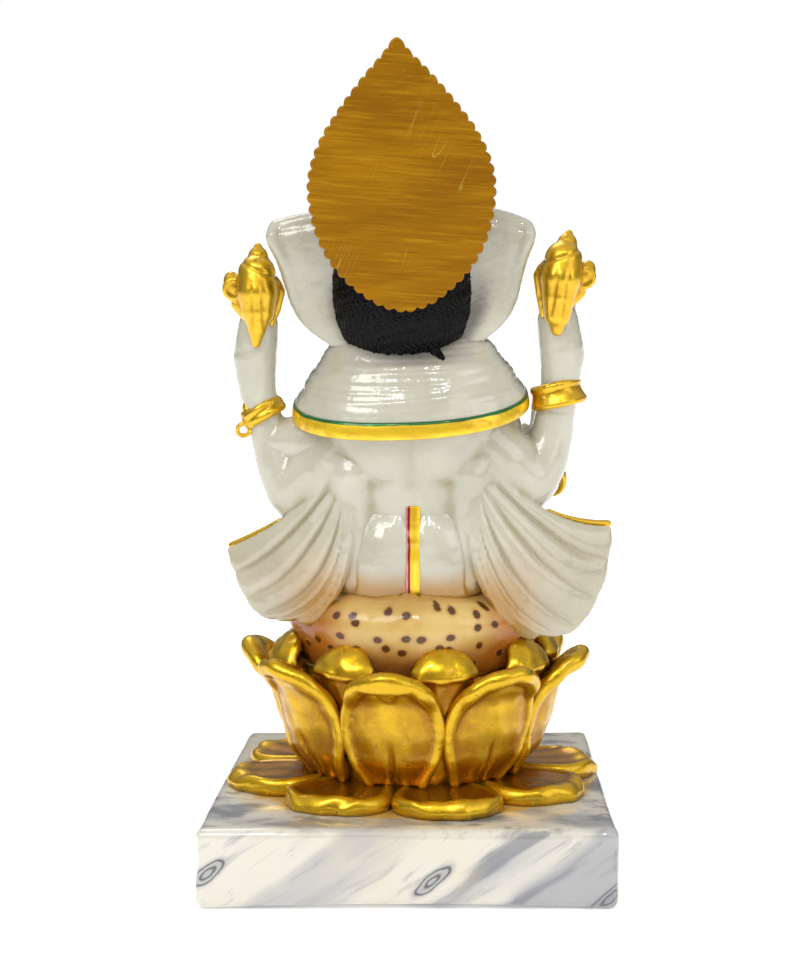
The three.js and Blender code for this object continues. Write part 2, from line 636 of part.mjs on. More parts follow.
// ---------- finishes ----------
const finish = (color, roughness, metalness = 0) => new THREE.MeshStandardMaterial({ color, roughness, metalness });
const white = finish(0xe6e3da, 0.12);
const veined = finish(0xcfccc4, 0.15);
const gold = finish(0xb8860b, 0.3, 0.85);
const skin = finish(0xdcaa5a, 0.25);
const black = finish(0x17171a, 0.3);
const ivory = finish(0xf2ead2, 0.2);
const orange = finish(0xd9882b, 0.4);

const statue = new THREE.Group();
function add(name, geometry, material, parent = statue) {
  const mesh = new THREE.Mesh(geometry, material);
  mesh.name = name;
  parent.add(mesh);
}

const throne = new THREE.Group();
throne.position.set(lotus.shift, 0, plinth.height);
statue.add(throne);
add("plinth", geometryOf(plinthSolid()), veined);
add("lotus_core", geometryOf(lotusCoreSolid()), gold, throne);
const step = 360 / lotus.petals;
for (let i = 0; i < lotus.petals; i++) {
  const number = i + 1;
  add(`lower_petal_${number}`, geometryOf(lowerPetal(rings.lower.turn + i * step)), gold, throne);
  add(`middle_petal_${number}`, geometryOf(standingPetal(rings.middle, middleFoot, rings.middle.turn + i * step)), gold, throne);
  add(`upper_petal_${number}`, geometryOf(standingPetal(rings.upper, rings.upper.foot, rings.upper.turn + i * step)), gold, throne);
}
const cushion = carved(solidOf(turned(seatProfile(), lotusShare)),
  solidOf(geometryOf(tenon(glueGap)).translate(torso.shift, 0, seatTop)));
add("seat_cushion", geometryOf(cushion), skin, throne);

add("torso", onFigure(torsoCast), white);
add("dhoti", onFigure(dhoti), white);
add("back_pleat", onFigure(pleat), gold);
add("shawl", onFigure(shawlCast), white);
add("shawl_border", onFigure(borderCast), gold);
add("necklace", onFigure(largest(carved(neckChain(), grownTorso, grownShawl))), gold);
["left", "right"].forEach((side, i) => {
  add(`${side}_leg`, onFigure(legs[i]), white);
  add(`${side}_rear_arm`, onFigure(rearArms[i]), white);
  add(`${side}_front_arm`, onFigure(frontArms[i]), white);
  add(`${side}_rear_bracelet`, onFigure(braceletOn(armChains[i], 2, 3, 0)), gold);
  add(`${side}_front_bracelet`, onFigure(braceletOn(armChains[i + 2], 1, 2, 0.94)), gold);
  add(`${side}_blossom`, onFigure(blossoms[i]), gold);
  add(`${side}_shawl_wing`, onFigure(wingSolids[i]), white);
  add(`${side}_wing_edge`, onFigure(wingEdges[i]), gold);
  add(`${side}_ear`, onFigure(largest(carved(ears[i], grownHead, grownShawl, grownCrown))), white);
  const tusk = i ? limbs.rightTusk : limbs.leftTusk;
  add(`${side}_tusk`, onFigure(carved(limb(tusk, 0, onHead), grownHead, grownTrunk)), ivory);
});
add("sweet", onFigure(sweetBall), orange);
add("head", onFigure(headCast), white);
const trunkCast = largest(carved(limb(limbs.trunk, 0, onHead), grownHead, grownTorso, grownFront[0]));
add("trunk", onFigure(trunkCast), white);
add("hair", onFigure(largest(hairCast)), black);
add("crown", onFigure(crownCast), gold);
add("halo_plate", onFigure(carved(haloSolid(), lug(glueGap))), gold);

export default statue;
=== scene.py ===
import math

import bmesh
import bpy
import numpy as np
from mathutils import Euler, Matrix, Vector
from mathutils.kdtree import KDTree


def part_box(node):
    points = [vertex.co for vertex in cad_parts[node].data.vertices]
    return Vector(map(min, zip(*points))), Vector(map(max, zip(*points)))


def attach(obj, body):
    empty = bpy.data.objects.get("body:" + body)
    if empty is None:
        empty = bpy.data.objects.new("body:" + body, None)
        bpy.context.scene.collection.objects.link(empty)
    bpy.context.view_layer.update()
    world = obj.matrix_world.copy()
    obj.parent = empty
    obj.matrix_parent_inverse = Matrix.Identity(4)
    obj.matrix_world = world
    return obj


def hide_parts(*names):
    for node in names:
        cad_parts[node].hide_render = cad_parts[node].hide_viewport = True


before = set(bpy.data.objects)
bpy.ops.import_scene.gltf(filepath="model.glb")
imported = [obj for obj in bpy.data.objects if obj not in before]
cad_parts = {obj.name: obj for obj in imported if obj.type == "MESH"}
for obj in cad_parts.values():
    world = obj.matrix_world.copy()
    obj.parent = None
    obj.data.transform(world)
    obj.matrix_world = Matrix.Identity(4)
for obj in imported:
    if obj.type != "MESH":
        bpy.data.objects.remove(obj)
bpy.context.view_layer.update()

# The pieces are modelled in millimetres from two places: the middle of the plinth's top for the
# lotus throne, and the middle of the seat's top for the figure. The back of the figure is +Y.
mm = 0.001


def boxMiddle(node):
    low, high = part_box(node)
    return (low + high) / 2


plinthLow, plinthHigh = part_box("plinth")
coreLow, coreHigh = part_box("lotus_core")
throneAt = Vector((boxMiddle("lotus_core").x, 0, plinthHigh.z))
figureAt = Vector((boxMiddle("torso").x, 0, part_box("seat_cushion")[1].z))
lotusShare = (coreHigh.y - coreLow.y) / (coreHigh.x - coreLow.x)  # depth of the oval over its width

studio = dict(
    target=(0.0023, 0, 0.1422), distance=0.9, rise=10.5, lens=92.5,  # the camera, behind the figure
    floor=(0.99, 0.99, 0.99), skyTop=0.62, skyLow=0.08, skyWide=0.84,
)


def smooth(value, low, high):
    t = np.clip((value - low) / (high - low), 0, 1)
    return t * t * (3 - 2 * t)


def bump(value, centre, width):
    return np.exp(-(((value - centre) / width) ** 2))


def lerp(a, b, t):
    return a + (b - a) * t


def curveAt(points, t):
    # a smooth curve through evenly spaced points, t from 0 to 1
    spots = np.asarray(points, float)
    last = len(spots) - 1
    place = min(max(t, 0.0), 1.0) * last
    i = min(int(place), last - 1)
    f = place - i
    a, b, c, d = (spots[min(max(i + k, 0), last)] for k in (-1, 0, 1, 2))
    straight, bent, twisted = c - a, 2 * a - 5 * b + 4 * c - d, 3 * b - a - 3 * c + d
    return 0.5 * (2 * b + straight * f + bent * f * f + twisted * f ** 3)


def table(pairs, value):
    # a smooth reading between listed pairs
    xs, ys = zip(*pairs)
    i = int(np.clip(np.searchsorted(xs, value) - 1, 0, len(xs) - 2))
    return float(lerp(ys[i], ys[i + 1], smooth(value, xs[i], xs[i + 1])))


def ripple(points, waves):
    # a repeatable gentle unevenness: each wave is a direction, a phase and a height
    total = np.zeros(len(points))
    for direction, phase, height in waves:
        total += height * np.sin(points @ np.array(direction) + phase)
    return total


def leaning(degrees):
    return Euler([math.radians(a) for a in degrees]).to_matrix().to_4x4()


def ball(bm, centre, radii, turn=(0, 0, 0), steps=28):
    radii = (radii,) * 3 if isinstance(radii, (int, float)) else radii
    place = Matrix.Translation(centre) @ leaning(turn) @ Matrix.Diagonal((*radii, 1))
    bmesh.ops.create_uvsphere(bm, u_segments=steps, v_segments=steps // 2, radius=1, matrix=place)


def limb(bm, chain, steps=28):
    # balls of given radius joined by cones
    for (x, y, z, r) in chain:
        ball(bm, (x, y, z), r, steps=steps)
    for first, second in zip(chain, chain[1:]):
        a, b = Vector(first[:3]), Vector(second[:3])
        span = b - a
        lean = Vector((0, 0, 1)).rotation_difference(span).to_matrix().to_4x4()
        bmesh.ops.create_cone(
            bm, cap_ends=True, segments=steps, radius1=first[3], radius2=second[3], depth=span.length,
            matrix=Matrix.Translation((a + b) / 2) @ lean,
        )


def spun(bm, profile, share=1.0, steps=96, centre=(0, 0, 0)):
    # a profile of radius and height, turned about the upright axis; it starts and ends on the axis
    made = [bm.verts.new((r, 0, z)) for r, z in profile]
    edges = [bm.edges.new(pair) for pair in zip(made, made[1:])]
    turned = bmesh.ops.spin(
        bm, geom=made + edges, cent=(0, 0, 0), axis=(0, 0, 1), angle=math.tau, steps=steps, use_merge=True,
    )
    fresh = [g for g in turned["geom_last"] if isinstance(g, bmesh.types.BMVert)] + made
    seen = set(fresh)
    border = list(fresh)
    while border:
        border = [e.other_vert(v) for v in border for e in v.link_edges if e.other_vert(v) not in seen]
        seen.update(border)
    seen = list(seen)
    bmesh.ops.transform(bm, matrix=Matrix.Translation(centre) @ Matrix.Diagonal((1, share, 1, 1)), verts=seen)
    bmesh.ops.remove_doubles(bm, verts=seen, dist=1e-4)
    bmesh.ops.recalc_face_normals(bm, faces=bm.faces)


def ringOf(bm, centre, radius, wire, turn=(0, 0, 0), steps=48, sides=16):
    # a round bead bent into a ring
    section = Matrix.Translation((radius, 0, 0)) @ Matrix.Rotation(math.pi / 2, 4, "X")
    made = bmesh.ops.create_circle(bm, segments=sides, radius=wire, matrix=section)["verts"]
    edges = list({e for v in made for e in v.link_edges})
    before = set(bm.verts) - set(made)
    bmesh.ops.spin(
        bm, geom=made + edges, cent=(0, 0, 0), axis=(0, 0, 1), angle=math.tau, steps=steps, use_merge=True,
    )
    fresh = [v for v in bm.verts if v not in before]
    bmesh.ops.transform(bm, matrix=Matrix.Translation(centre) @ leaning(turn), verts=fresh)
    bmesh.ops.remove_doubles(bm, verts=fresh, dist=1e-4)
    bmesh.ops.recalc_face_normals(bm, faces=bm.faces)


def applied(mesh, *modifiers):
    # the mesh after these modifiers, with nothing left live
    blank = bpy.data.objects.new("blank", mesh)
    bpy.context.scene.collection.objects.link(blank)
    for kind, settings in modifiers:
        step = blank.modifiers.new(kind.lower(), kind)
        for key, value in settings.items():
            setattr(step, key, value)
    bpy.context.view_layer.update()
    made = bpy.data.meshes.new_from_object(blank.evaluated_get(bpy.context.evaluated_depsgraph_get()))
    bpy.data.objects.remove(blank)
    return made


def remeshing(voxel):
    return ("REMESH", dict(mode="VOXEL", voxel_size=voxel, adaptivity=0.0))


def smoothing(rounds, factor=0.5):
    return ("SMOOTH", dict(factor=factor, iterations=rounds))


def subdividing(levels):
    return ("SUBSURF", dict(levels=levels, render_levels=levels))


def readPoints(mesh):
    points = np.empty(len(mesh.vertices) * 3)
    mesh.vertices.foreach_get("co", points)
    normals = np.empty(len(mesh.vertices) * 3)
    mesh.vertex_normals.foreach_get("vector", normals)
    return points.reshape(-1, 3), normals.reshape(-1, 3)


def writePoints(mesh, points):
    mesh.vertices.foreach_set("co", points.astype(np.float32).ravel())
    mesh.update()


def edgesOf(mesh):
    edges = np.empty(len(mesh.edges) * 2, int)
    mesh.edges.foreach_get("vertices", edges)
    return edges.reshape(-1, 2)


def spread(edges, count, values, rounds):
    # each value becomes the mean of its neighbours', again and again
    degree = np.bincount(edges.ravel(), minlength=count)[:, None].clip(1)
    for _ in range(rounds):
        total = np.zeros_like(values)
        for column in range(values.shape[1]):
            total[:, column] = (
                np.bincount(edges[:, 0], values[edges[:, 1], column], count)
                + np.bincount(edges[:, 1], values[edges[:, 0], column], count)
            )
        values = total / degree
    return values


def addValue(mesh, name, values):
    layer = mesh.attributes.get(name) or mesh.attributes.new(name, "FLOAT", "POINT")
    layer.data.foreach_set("value", np.asarray(values, np.float32))


def readValue(mesh, name):
    values = np.empty(len(mesh.vertices))
    mesh.attributes[name].data.foreach_get("value", values)
    return values


def markHollows(mesh, rounds, depth):
    # 0 on ridges, a half on plain places, 1 in the bottom of folds of that depth
    points, normals = readPoints(mesh)
    rounded = spread(edgesOf(mesh), len(points), points, rounds)
    sunk = ((rounded - points) * normals).sum(axis=1)
    addValue(mesh, "hollow", np.clip(0.5 + sunk / (2 * depth), 0, 1))


def markPlain(mesh):
    addValue(mesh, "hollow", np.full(len(mesh.vertices), 0.5))


def finish(name, mesh, at, look, nodes, matrix=None):
    # in millimetres until here; from here on in place, in metres, and riding on the one body
    place = Matrix.Translation(at) @ Matrix.Scale(mm, 4)
    mesh.transform(place @ matrix if matrix else place)
    mesh.name = name
    piece = bpy.data.objects.new(name, mesh)
    bpy.context.scene.collection.objects.link(piece)
    mesh.materials.clear()
    mesh.materials.append(look)
    mesh.polygons.foreach_set("use_smooth", [True] * len(mesh.polygons))
    mesh.update()
    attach(piece, "root")
    if nodes:
        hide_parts(*nodes)
    return piece


def meshFrom(bm):
    mesh = bpy.data.meshes.new("blank")
    bm.to_mesh(mesh)
    bm.free()
    return mesh


def cast(name, bm, at, look, nodes, voxel=0.9, rounds=6, carve=None, after=0, paint=None,
         hollows=(14, 0.9), matrix=None):
    # shapes that overlap become one casting, which is then smoothed, carved and painted
    mesh = applied(meshFrom(bm), remeshing(voxel), smoothing(rounds))
    if carve:
        writePoints(mesh, carve(*readPoints(mesh)))
    if after:
        mesh = applied(mesh, smoothing(after))
    markHollows(mesh, *hollows)
    if paint:
        for key, values in paint(*readPoints(mesh), readValue(mesh, "hollow")).items():
            addValue(mesh, key, values)
    return finish(name, mesh, at, look, nodes, matrix)


def sheetMesh(shape, across, along, thickness, levels=1):
    # a grid bent into shape, given a wall and rounded; it keeps where each point lay on the grid
    bm = bmesh.new()
    bmesh.ops.create_grid(bm, x_segments=across, y_segments=along, size=0.5)
    u = [v.co.x + 0.5 for v in bm.verts]
    t = [v.co.y + 0.5 for v in bm.verts]
    for vert, a, b in zip(bm.verts, u, t):
        vert.co = shape(a, b)
    mesh = meshFrom(bm)
    addValue(mesh, "across", u)
    addValue(mesh, "along", t)
    return applied(
        mesh,
        ("SOLIDIFY", dict(thickness=thickness, offset=-1.0, use_even_offset=False)),
        subdividing(levels),
    )


def newLook(name, **settings):
    look = bpy.data.materials.new(name)
    look.use_nodes = True
    shader = look.node_tree.nodes["Principled BSDF"]
    for key, value in settings.items():
        shader.inputs[key.replace("_", " ")].default_value = value
    return look, look.node_tree, shader


def put(tree, socket, value):
    if isinstance(value, bpy.types.NodeSocket):
        tree.links.new(value, socket)
    else:
        socket.default_value = value


def placed(tree, move=(0, 0, 0), turn=(0, 0, 0), scale=(1, 1, 1)):
    # moved and turned first, then stretched along the turned directions
    vector = tree.nodes.new("ShaderNodeTexCoord").outputs["Object"]
    for key, value in (("Location", move), ("Rotation", [math.radians(a) for a in turn]), ("Scale", scale)):
        step = tree.nodes.new("ShaderNodeMapping")
        step.inputs[key].default_value = value
        tree.links.new(vector, step.inputs["Vector"])
        vector = step.outputs["Vector"]
    return vector


def maths(tree, operation, a, b=0.0):
    step = tree.nodes.new("ShaderNodeMath")
    step.operation = operation
    put(tree, step.inputs[0], a)
    put(tree, step.inputs[1], b)
    return step.outputs[0]


def scaledSum(tree, a, b, share):
    return maths(tree, "ADD", a, maths(tree, "MULTIPLY", b, share))


def centred(tree, value, middle=0.5):
    return maths(tree, "SUBTRACT", value, middle)


def vectorMaths(tree, operation, a, b=(0, 0, 0), out=0):
    step = tree.nodes.new("ShaderNodeVectorMath")
    step.operation = operation
    put(tree, step.inputs[0], a)
    put(tree, step.inputs[1], b)
    return step.outputs[out]


def eased(tree, value, low, high, outLow=0.0, outHigh=1.0):
    step = tree.nodes.new("ShaderNodeMapRange")
    step.interpolation_type = "SMOOTHSTEP"
    put(tree, step.inputs["Value"], value)
    for key, number in (("From Min", low), ("From Max", high), ("To Min", outLow), ("To Max", outHigh)):
        step.inputs[key].default_value = number
    return step.outputs["Result"]


def mixed(tree, factor, first, second, mode="MIX"):
    step = tree.nodes.new("ShaderNodeMix")
    step.data_type = "RGBA"
    step.blend_type = mode
    put(tree, step.inputs["Factor"], factor)
    for socket, colour in ((step.inputs[6], first), (step.inputs[7], second)):
        put(tree, socket, (*colour, 1) if isinstance(colour, tuple) else colour)
    return step.outputs[2]


def noisy(tree, vector, scale, detail=3.0, rough=0.5, warp=0.0):
    step = tree.nodes.new("ShaderNodeTexNoise")
    put(tree, step.inputs["Vector"], vector)
    for key, number in (("Scale", scale), ("Detail", detail), ("Roughness", rough), ("Distortion", warp)):
        step.inputs[key].default_value = number
    return step.outputs["Fac"]


def cells(tree, vector, scale, jitter=1.0, dimensions="3D"):
    step = tree.nodes.new("ShaderNodeTexVoronoi")
    step.voronoi_dimensions = dimensions
    put(tree, step.inputs["Vector"], vector)
    step.inputs["Scale"].default_value = scale
    step.inputs["Randomness"].default_value = jitter
    return step.outputs["Distance"]


def valueOf(tree, name):
    step = tree.nodes.new("ShaderNodeAttribute")
    step.attribute_name = name
    return step.outputs["Fac"]


def bumped(tree, shader, height, strength, distance, coat=False):
    step = tree.nodes.new("ShaderNodeBump")
    step.inputs["Strength"].default_value = strength
    step.inputs["Distance"].default_value = distance
    tree.links.new(height, step.inputs["Height"])
    tree.links.new(step.outputs["Normal"], shader.inputs["Normal"])
    if coat:
        tree.links.new(step.outputs["Normal"], shader.inputs["Coat Normal"])


def whiteMarbleLook():
    look, tree, shader = newLook(
        "whiteMarble", Coat_Weight=1.0, Coat_Roughness=0.035, Subsurface_Weight=0.18,
        Subsurface_Radius=(0.9, 0.75, 0.5), Subsurface_Scale=0.004, IOR=1.5,
    )
    at = placed(tree)
    cloud = noisy(tree, at, 26, 4, 0.55, 0.4)
    colour = mixed(tree, eased(tree, cloud, 0.3, 0.7), (0.42, 0.405, 0.315), (0.52, 0.505, 0.415))
    mottle = eased(tree, noisy(tree, at, 120, 5, 0.65), 0.52, 0.75, 0, 0.35)
    colour = mixed(tree, mottle, colour, (0.37, 0.345, 0.25))
    # painted shade: the marble turns a warm grey in the bottom of folds
    folds = eased(tree, valueOf(tree, "hollow"), 0.47, 0.90, 0, 0.85)
    colour = mixed(tree, folds, colour, (0.31, 0.28, 0.165))
    # the orange airbrush; over the lower wings its wash is partly painted shade
    colour = mixed(tree, valueOf(tree, "airbrushAndShade"), colour, (0.82, 0.42, 0.05), "MULTIPLY")
    colour = mixed(tree, valueOf(tree, "soot"), colour, (0.06, 0.045, 0.06))
    tree.links.new(colour, shader.inputs["Base Color"])
    tree.links.new(eased(tree, mottle, 0, 0.35, 0.2, 0.34), shader.inputs["Roughness"])
    waves = scaledSum(tree, noisy(tree, at, 210, 2, 0.5), noisy(tree, at, 900, 3), 0.12)
    bumped(tree, shader, waves, 0.5, 0.0006, coat=True)
    return look


def giltLook(name, bright, deep, split):
    # split is where the bright gold starts to turn into the deep one, and where it ends
    look, tree, shader = newLook(name, Metallic=0.86, Coat_Weight=0.4, Coat_Roughness=0.06, IOR=1.5)
    at = placed(tree)
    strokes = noisy(tree, at, 190, 4, 0.6, 0.6)
    # the gold deepens to amber in hollows: partly the darker paint lying in them, partly painted shade
    hollow = scaledSum(tree, valueOf(tree, "hollow"), strokes, 0.34)
    depth = eased(tree, centred(tree, hollow, 0.17), *split)
    colour = mixed(tree, depth, bright, deep)
    patch = eased(tree, noisy(tree, at, 60, 3, 0.6), 0.45, 0.7, 0, 0.3)
    colour = mixed(tree, patch, colour, tuple(lerp(a, b, 0.55) for a, b in zip(bright, deep)))
    flakes = eased(tree, cells(tree, at, 2600), 0.0, 0.5, 0.35, 0)
    colour = mixed(tree, flakes, colour, tuple(min(1, c * 1.35 + 0.02) for c in bright))
    pits = eased(tree, noisy(tree, at, 420, 2, 0.5), 0.70, 0.78, 0, 0.6)
    colour = mixed(tree, pits, colour, (0.16, 0.06, 0.004))
    tree.links.new(colour, shader.inputs["Base Color"])
    tree.links.new(eased(tree, strokes, 0.25, 0.75, 0.24, 0.42), shader.inputs["Roughness"])
    height = scaledSum(tree, strokes, noisy(tree, at, 800, 3, 0.6), 0.25)
    bumped(tree, shader, height, 0.4, 0.0004)
    return look


def plateLook():
    look, tree, shader = newLook("plateGilt", Metallic=0.6, Specular_IOR_Level=0.25)
    fine = noisy(tree, placed(tree, turn=(0, 4, 0), scale=(0.05, 1, 1)), 800, 5, 0.65, 0.15)
    broad = noisy(tree, placed(tree, turn=(0, -5, 0), scale=(0.2, 1, 1)), 60, 4, 0.6, 0.5)
    colour = mixed(tree, eased(tree, broad, 0.32, 0.68), (0.27, 0.110, 0.0), (0.38, 0.170, 0.001))
    colour = mixed(tree, eased(tree, fine, 0.50, 0.76, 0, 0.6), colour, (0.52, 0.29, 0.006))
    colour = mixed(tree, eased(tree, fine, 0.46, 0.26, 0, 0.55), colour, (0.20, 0.075, 0.0))
    scratchAt = placed(tree, turn=(0, 24, 0), scale=(0.7, 1, 0.05))
    line = maths(tree, "ABSOLUTE", centred(tree, noisy(tree, scratchAt, 300, 1)))
    where = eased(tree, noisy(tree, placed(tree, move=(0.02, 0, 0.03)), 40, 2), 0.56, 0.64)
    scratch = maths(tree, "MULTIPLY", eased(tree, line, 0.006, 0.0, 0, 0.35), where)
    colour = mixed(tree, scratch, colour, (0.78, 0.55, 0.14))
    tree.links.new(colour, shader.inputs["Base Color"])
    tree.links.new(eased(tree, fine, 0.3, 0.7, 0.32, 0.5), shader.inputs["Roughness"])
    bumped(tree, shader, scaledSum(tree, fine, broad, 0.6), 0.5, 0.0004)
    return look


def leopardLook():
    look, tree, shader = newLook(
        "leopardSkin", Coat_Weight=0.5, Coat_Roughness=0.05, Specular_IOR_Level=0.3, Subsurface_Weight=0.06,
        Subsurface_Radius=(1.0, 0.6, 0.3), Subsurface_Scale=0.003,
    )
    at = placed(tree)
    cloud = noisy(tree, at, 38, 3, 0.5)
    colour = mixed(tree, eased(tree, cloud, 0.35, 0.65), (0.48, 0.30, 0.075), (0.60, 0.42, 0.14))
    colour = mixed(tree, valueOf(tree, "airbrushAndShade"), colour, (0.62, 0.25, 0.03), "MULTIPLY")
    place = tree.nodes.new("ShaderNodeCombineXYZ")
    tree.links.new(valueOf(tree, "around"), place.inputs["X"])
    tree.links.new(valueOf(tree, "rise"), place.inputs["Y"])
    spot = cells(tree, place.outputs[0], 0.105, 0.8, "2D")  # one spot every 9.5 mm
    wobble = scaledSum(tree, spot, noisy(tree, at, 300, 2), 0.16)
    colour = mixed(tree, eased(tree, wobble, 0.42, 0.27, 0, 0.35), colour, (0.40, 0.16, 0.03))
    colour = mixed(tree, eased(tree, wobble, 0.30, 0.21, 0, 0.97), colour, (0.075, 0.020, 0.002))
    glitter = eased(tree, cells(tree, at, 900), 0.12, 0.05)
    low = maths(tree, "MULTIPLY", glitter, valueOf(tree, "froth"))
    colour = mixed(tree, low, colour, (0.95, 0.78, 0.50))
    tree.links.new(colour, shader.inputs["Base Color"])
    tree.links.new(eased(tree, cloud, 0.3, 0.7, 0.22, 0.36), shader.inputs["Roughness"])
    height = scaledSum(tree, noisy(tree, at, 240, 3), low, 0.8)
    bumped(tree, shader, height, 0.4, 0.0005, coat=True)
    return look


def veinedMarbleLook(knots):
    look, tree, shader = newLook(
        "veinedMarble", Coat_Weight=0.9, Coat_Roughness=0.04, Subsurface_Weight=0.1,
        Subsurface_Radius=(0.9, 0.8, 0.6), Subsurface_Scale=0.004,
    )
    at = placed(tree)
    flow = vectorMaths(
        tree, "ADD", placed(tree, turn=(6, -38, 5), scale=(0.055, 1, 1)),
        vectorMaths(tree, "MULTIPLY", noisy(tree, at, 24, 2, 0.5), (0.002, 0.010, 0.010)),
    )
    broad = noisy(tree, flow, 40, 2, 0.5, 0.1)
    colour = mixed(tree, eased(tree, broad, 0.43, 0.58), (0.64, 0.61, 0.53), (0.36, 0.36, 0.37))
    band = noisy(tree, flow, 82, 4, 0.55, 0.12)
    colour = mixed(tree, eased(tree, band, 0.505, 0.64, 0, 0.85), colour, (0.17, 0.175, 0.20))
    streak = noisy(tree, flow, 330, 3, 0.6, 0.08)
    colour = mixed(tree, eased(tree, streak, 0.52, 0.72, 0, 0.5), colour, (0.24, 0.24, 0.27))
    colour = mixed(tree, eased(tree, noisy(tree, at, 22, 2), 0.5, 0.75, 0, 0.5), colour, (0.66, 0.58, 0.42))
    for x, z, long, short, darkness in knots:
        # a dark oval eye in the stone, lying along the veins, with two rings round it
        stretch = (1 / (long * mm), 1 / (2.5 * long * mm), 1 / (short * mm))
        eye = placed(tree, move=(-x * mm, -plinthHigh.y, -z * mm), turn=(0, -40, 0), scale=stretch)
        uneven = centred(tree, noisy(tree, at, 170, 3))
        reach = scaledSum(tree, vectorMaths(tree, "LENGTH", eye, out=1), uneven, 0.55)
        colour = mixed(tree, eased(tree, reach, 1.5, 0.8, 0, 0.7 * darkness), colour, (0.27, 0.27, 0.29))
        for place, width, shade in ((0.9, 0.16, (0.035, 0.035, 0.045)), (0.38, 0.2, (0.03, 0.03, 0.04))):
            ring = maths(tree, "ABSOLUTE", centred(tree, reach, place))
            colour = mixed(tree, eased(tree, ring, width, 0.0, 0, 0.9 * darkness), colour, shade)
    colour = mixed(tree, valueOf(tree, "gilt"), colour, (0.62, 0.38, 0.03))
    tree.links.new(colour, shader.inputs["Base Color"])
    tree.links.new(eased(tree, broad, 0.3, 0.7, 0.16, 0.28), shader.inputs["Roughness"])
    waves = scaledSum(tree, noisy(tree, at, 130, 2), noisy(tree, at, 600, 2), 0.12)
    bumped(tree, shader, waves, 0.3, 0.0006, coat=True)
    return look


def hairLook():
    look, tree, shader = newLook("blackHair", Coat_Weight=0.07, Coat_Roughness=0.08, Specular_IOR_Level=0.08)
    at = placed(tree)
    strands = noisy(tree, placed(tree, scale=(1, 1, 0.08)), 900, 3, 0.6)
    colour = mixed(tree, eased(tree, strands, 0.4, 0.75), (0.001, 0.001, 0.001), (0.006, 0.006, 0.008))
    colour = mixed(tree, eased(tree, noisy(tree, at, 70, 2), 0.6, 0.8, 0, 0.5), colour, (0.007, 0.006, 0.009))
    tree.links.new(colour, shader.inputs["Base Color"])
    tree.links.new(eased(tree, strands, 0.3, 0.7, 0.2, 0.34), shader.inputs["Roughness"])
    bumped(tree, shader, strands, 0.25, 0.0004)
    return look


def linedLook(name, key, bands):
    # painted stripes that follow the piece: each band ends where its share of the width does
    look, tree, shader = newLook(name, Coat_Weight=0.5, Coat_Roughness=0.06, Metallic=0.5)
    at = placed(tree)
    across = scaledSum(tree, valueOf(tree, key), centred(tree, noisy(tree, at, 150, 2)), 0.10)
    brushed = placed(tree, scale=(0.16, 1, 1) if key == "along" else (1, 1, 0.16))
    strokes = noisy(tree, brushed, 420, 4, 0.6, 0.3)
    colour = None
    for share, bright, dark in bands:
        paint = mixed(tree, eased(tree, strokes, 0.35, 0.7), bright, dark)
        if colour is not None:
            paint = mixed(tree, eased(tree, across, share - 0.02, share + 0.02), colour, paint)
        colour = paint
    tree.links.new(colour, shader.inputs["Base Color"])
    tree.links.new(eased(tree, strokes, 0.3, 0.7, 0.24, 0.4), shader.inputs["Roughness"])
    bumped(tree, shader, strokes, 0.35, 0.0003)
    return look


def paintedLook(name, light, dark, scale=80, roughness=0.3):
    # a plain hand-painted colour, thin in places
    look, tree, shader = newLook(name, Coat_Weight=0.6, Coat_Roughness=0.08)
    at = placed(tree)
    wash = noisy(tree, at, scale, 4, 0.6)
    colour = mixed(tree, eased(tree, wash, 0.3, 0.7), light, dark)
    # painted shade: the colour darkens in the bottom of folds
    folds = eased(tree, valueOf(tree, "hollow"), 0.55, 0.95, 0, 0.6)
    colour = mixed(tree, folds, colour, tuple(c * 0.45 for c in dark))
    tree.links.new(colour, shader.inputs["Base Color"])
    tree.links.new(eased(tree, wash, 0.3, 0.7, roughness - 0.05, roughness + 0.1), shader.inputs["Roughness"])
    bumped(tree, shader, noisy(tree, at, scale * 6, 3), 0.3, 0.0003)
    return look


# across, up, length, width and darkness of each knot on the plinth's back
veinKnots = [(69.8, 13.5, 7.4, 2.6, 1.0), (-9.2, 11.0, 8.2, 2.5, 1.0), (-71.5, 4.5, 10, 3, 0.9)]
whiteMarble = whiteMarbleLook()
lotusGilt = giltLook("lotusGilt", (0.68, 0.41, 0.006), (0.36, 0.145, 0.0), split=(0.44, 0.84))
trimGilt = giltLook("trimGilt", (0.78, 0.47, 0.02), (0.36, 0.13, 0.003), split=(0.42, 0.85))
plateGilt = plateLook()
leopardSkin = leopardLook()
veinedMarble = veinedMarbleLook(veinKnots)
blackHair = hairLook()
ivoryPaint = paintedLook("ivoryPaint", (0.88, 0.80, 0.60), (0.74, 0.62, 0.40))
orangePaint = paintedLook("orangePaint", (0.80, 0.36, 0.06), (0.55, 0.19, 0.02), 220, 0.4)
redPaint = paintedLook("redPaint", (0.45, 0.02, 0.02), (0.25, 0.01, 0.01), 150)
eyePaint = paintedLook("eyePaint", (0.88, 0.87, 0.82), (0.80, 0.78, 0.72), 150, 0.15)
gold, amber = (0.93, 0.64, 0.02), (0.68, 0.39, 0.008)
borderPaint = linedLook("borderPaint", "along", [
    (0, gold, amber),
    (0.80, (0.012, 0.15, 0.03), (0.008, 0.09, 0.018)),
])
pleatPaint = linedLook("pleatPaint", "across", [
    (0, (0.78, 0.30, 0.26), (0.66, 0.24, 0.2)),
    (0.14, (0.32, 0.004, 0.012), (0.20, 0.003, 0.01)),
    (0.30, gold, amber),
])
print("finishes made")


plinthPiece = dict(
    leftLean=12, rightLean=2.5, rounding=3.4, arch=1.5, step=3.2, unevenness=0.25, giltReach=62,
    # direction, phase and height of each wave in the faces
    waves=[((0.07, 0.05, 0.11), 0.4, 0.5), ((-0.05, 0.09, 0.06), 2.0, 0.35), ((0.16, -0.12, 0.2), 1.1, 0.15)],
)


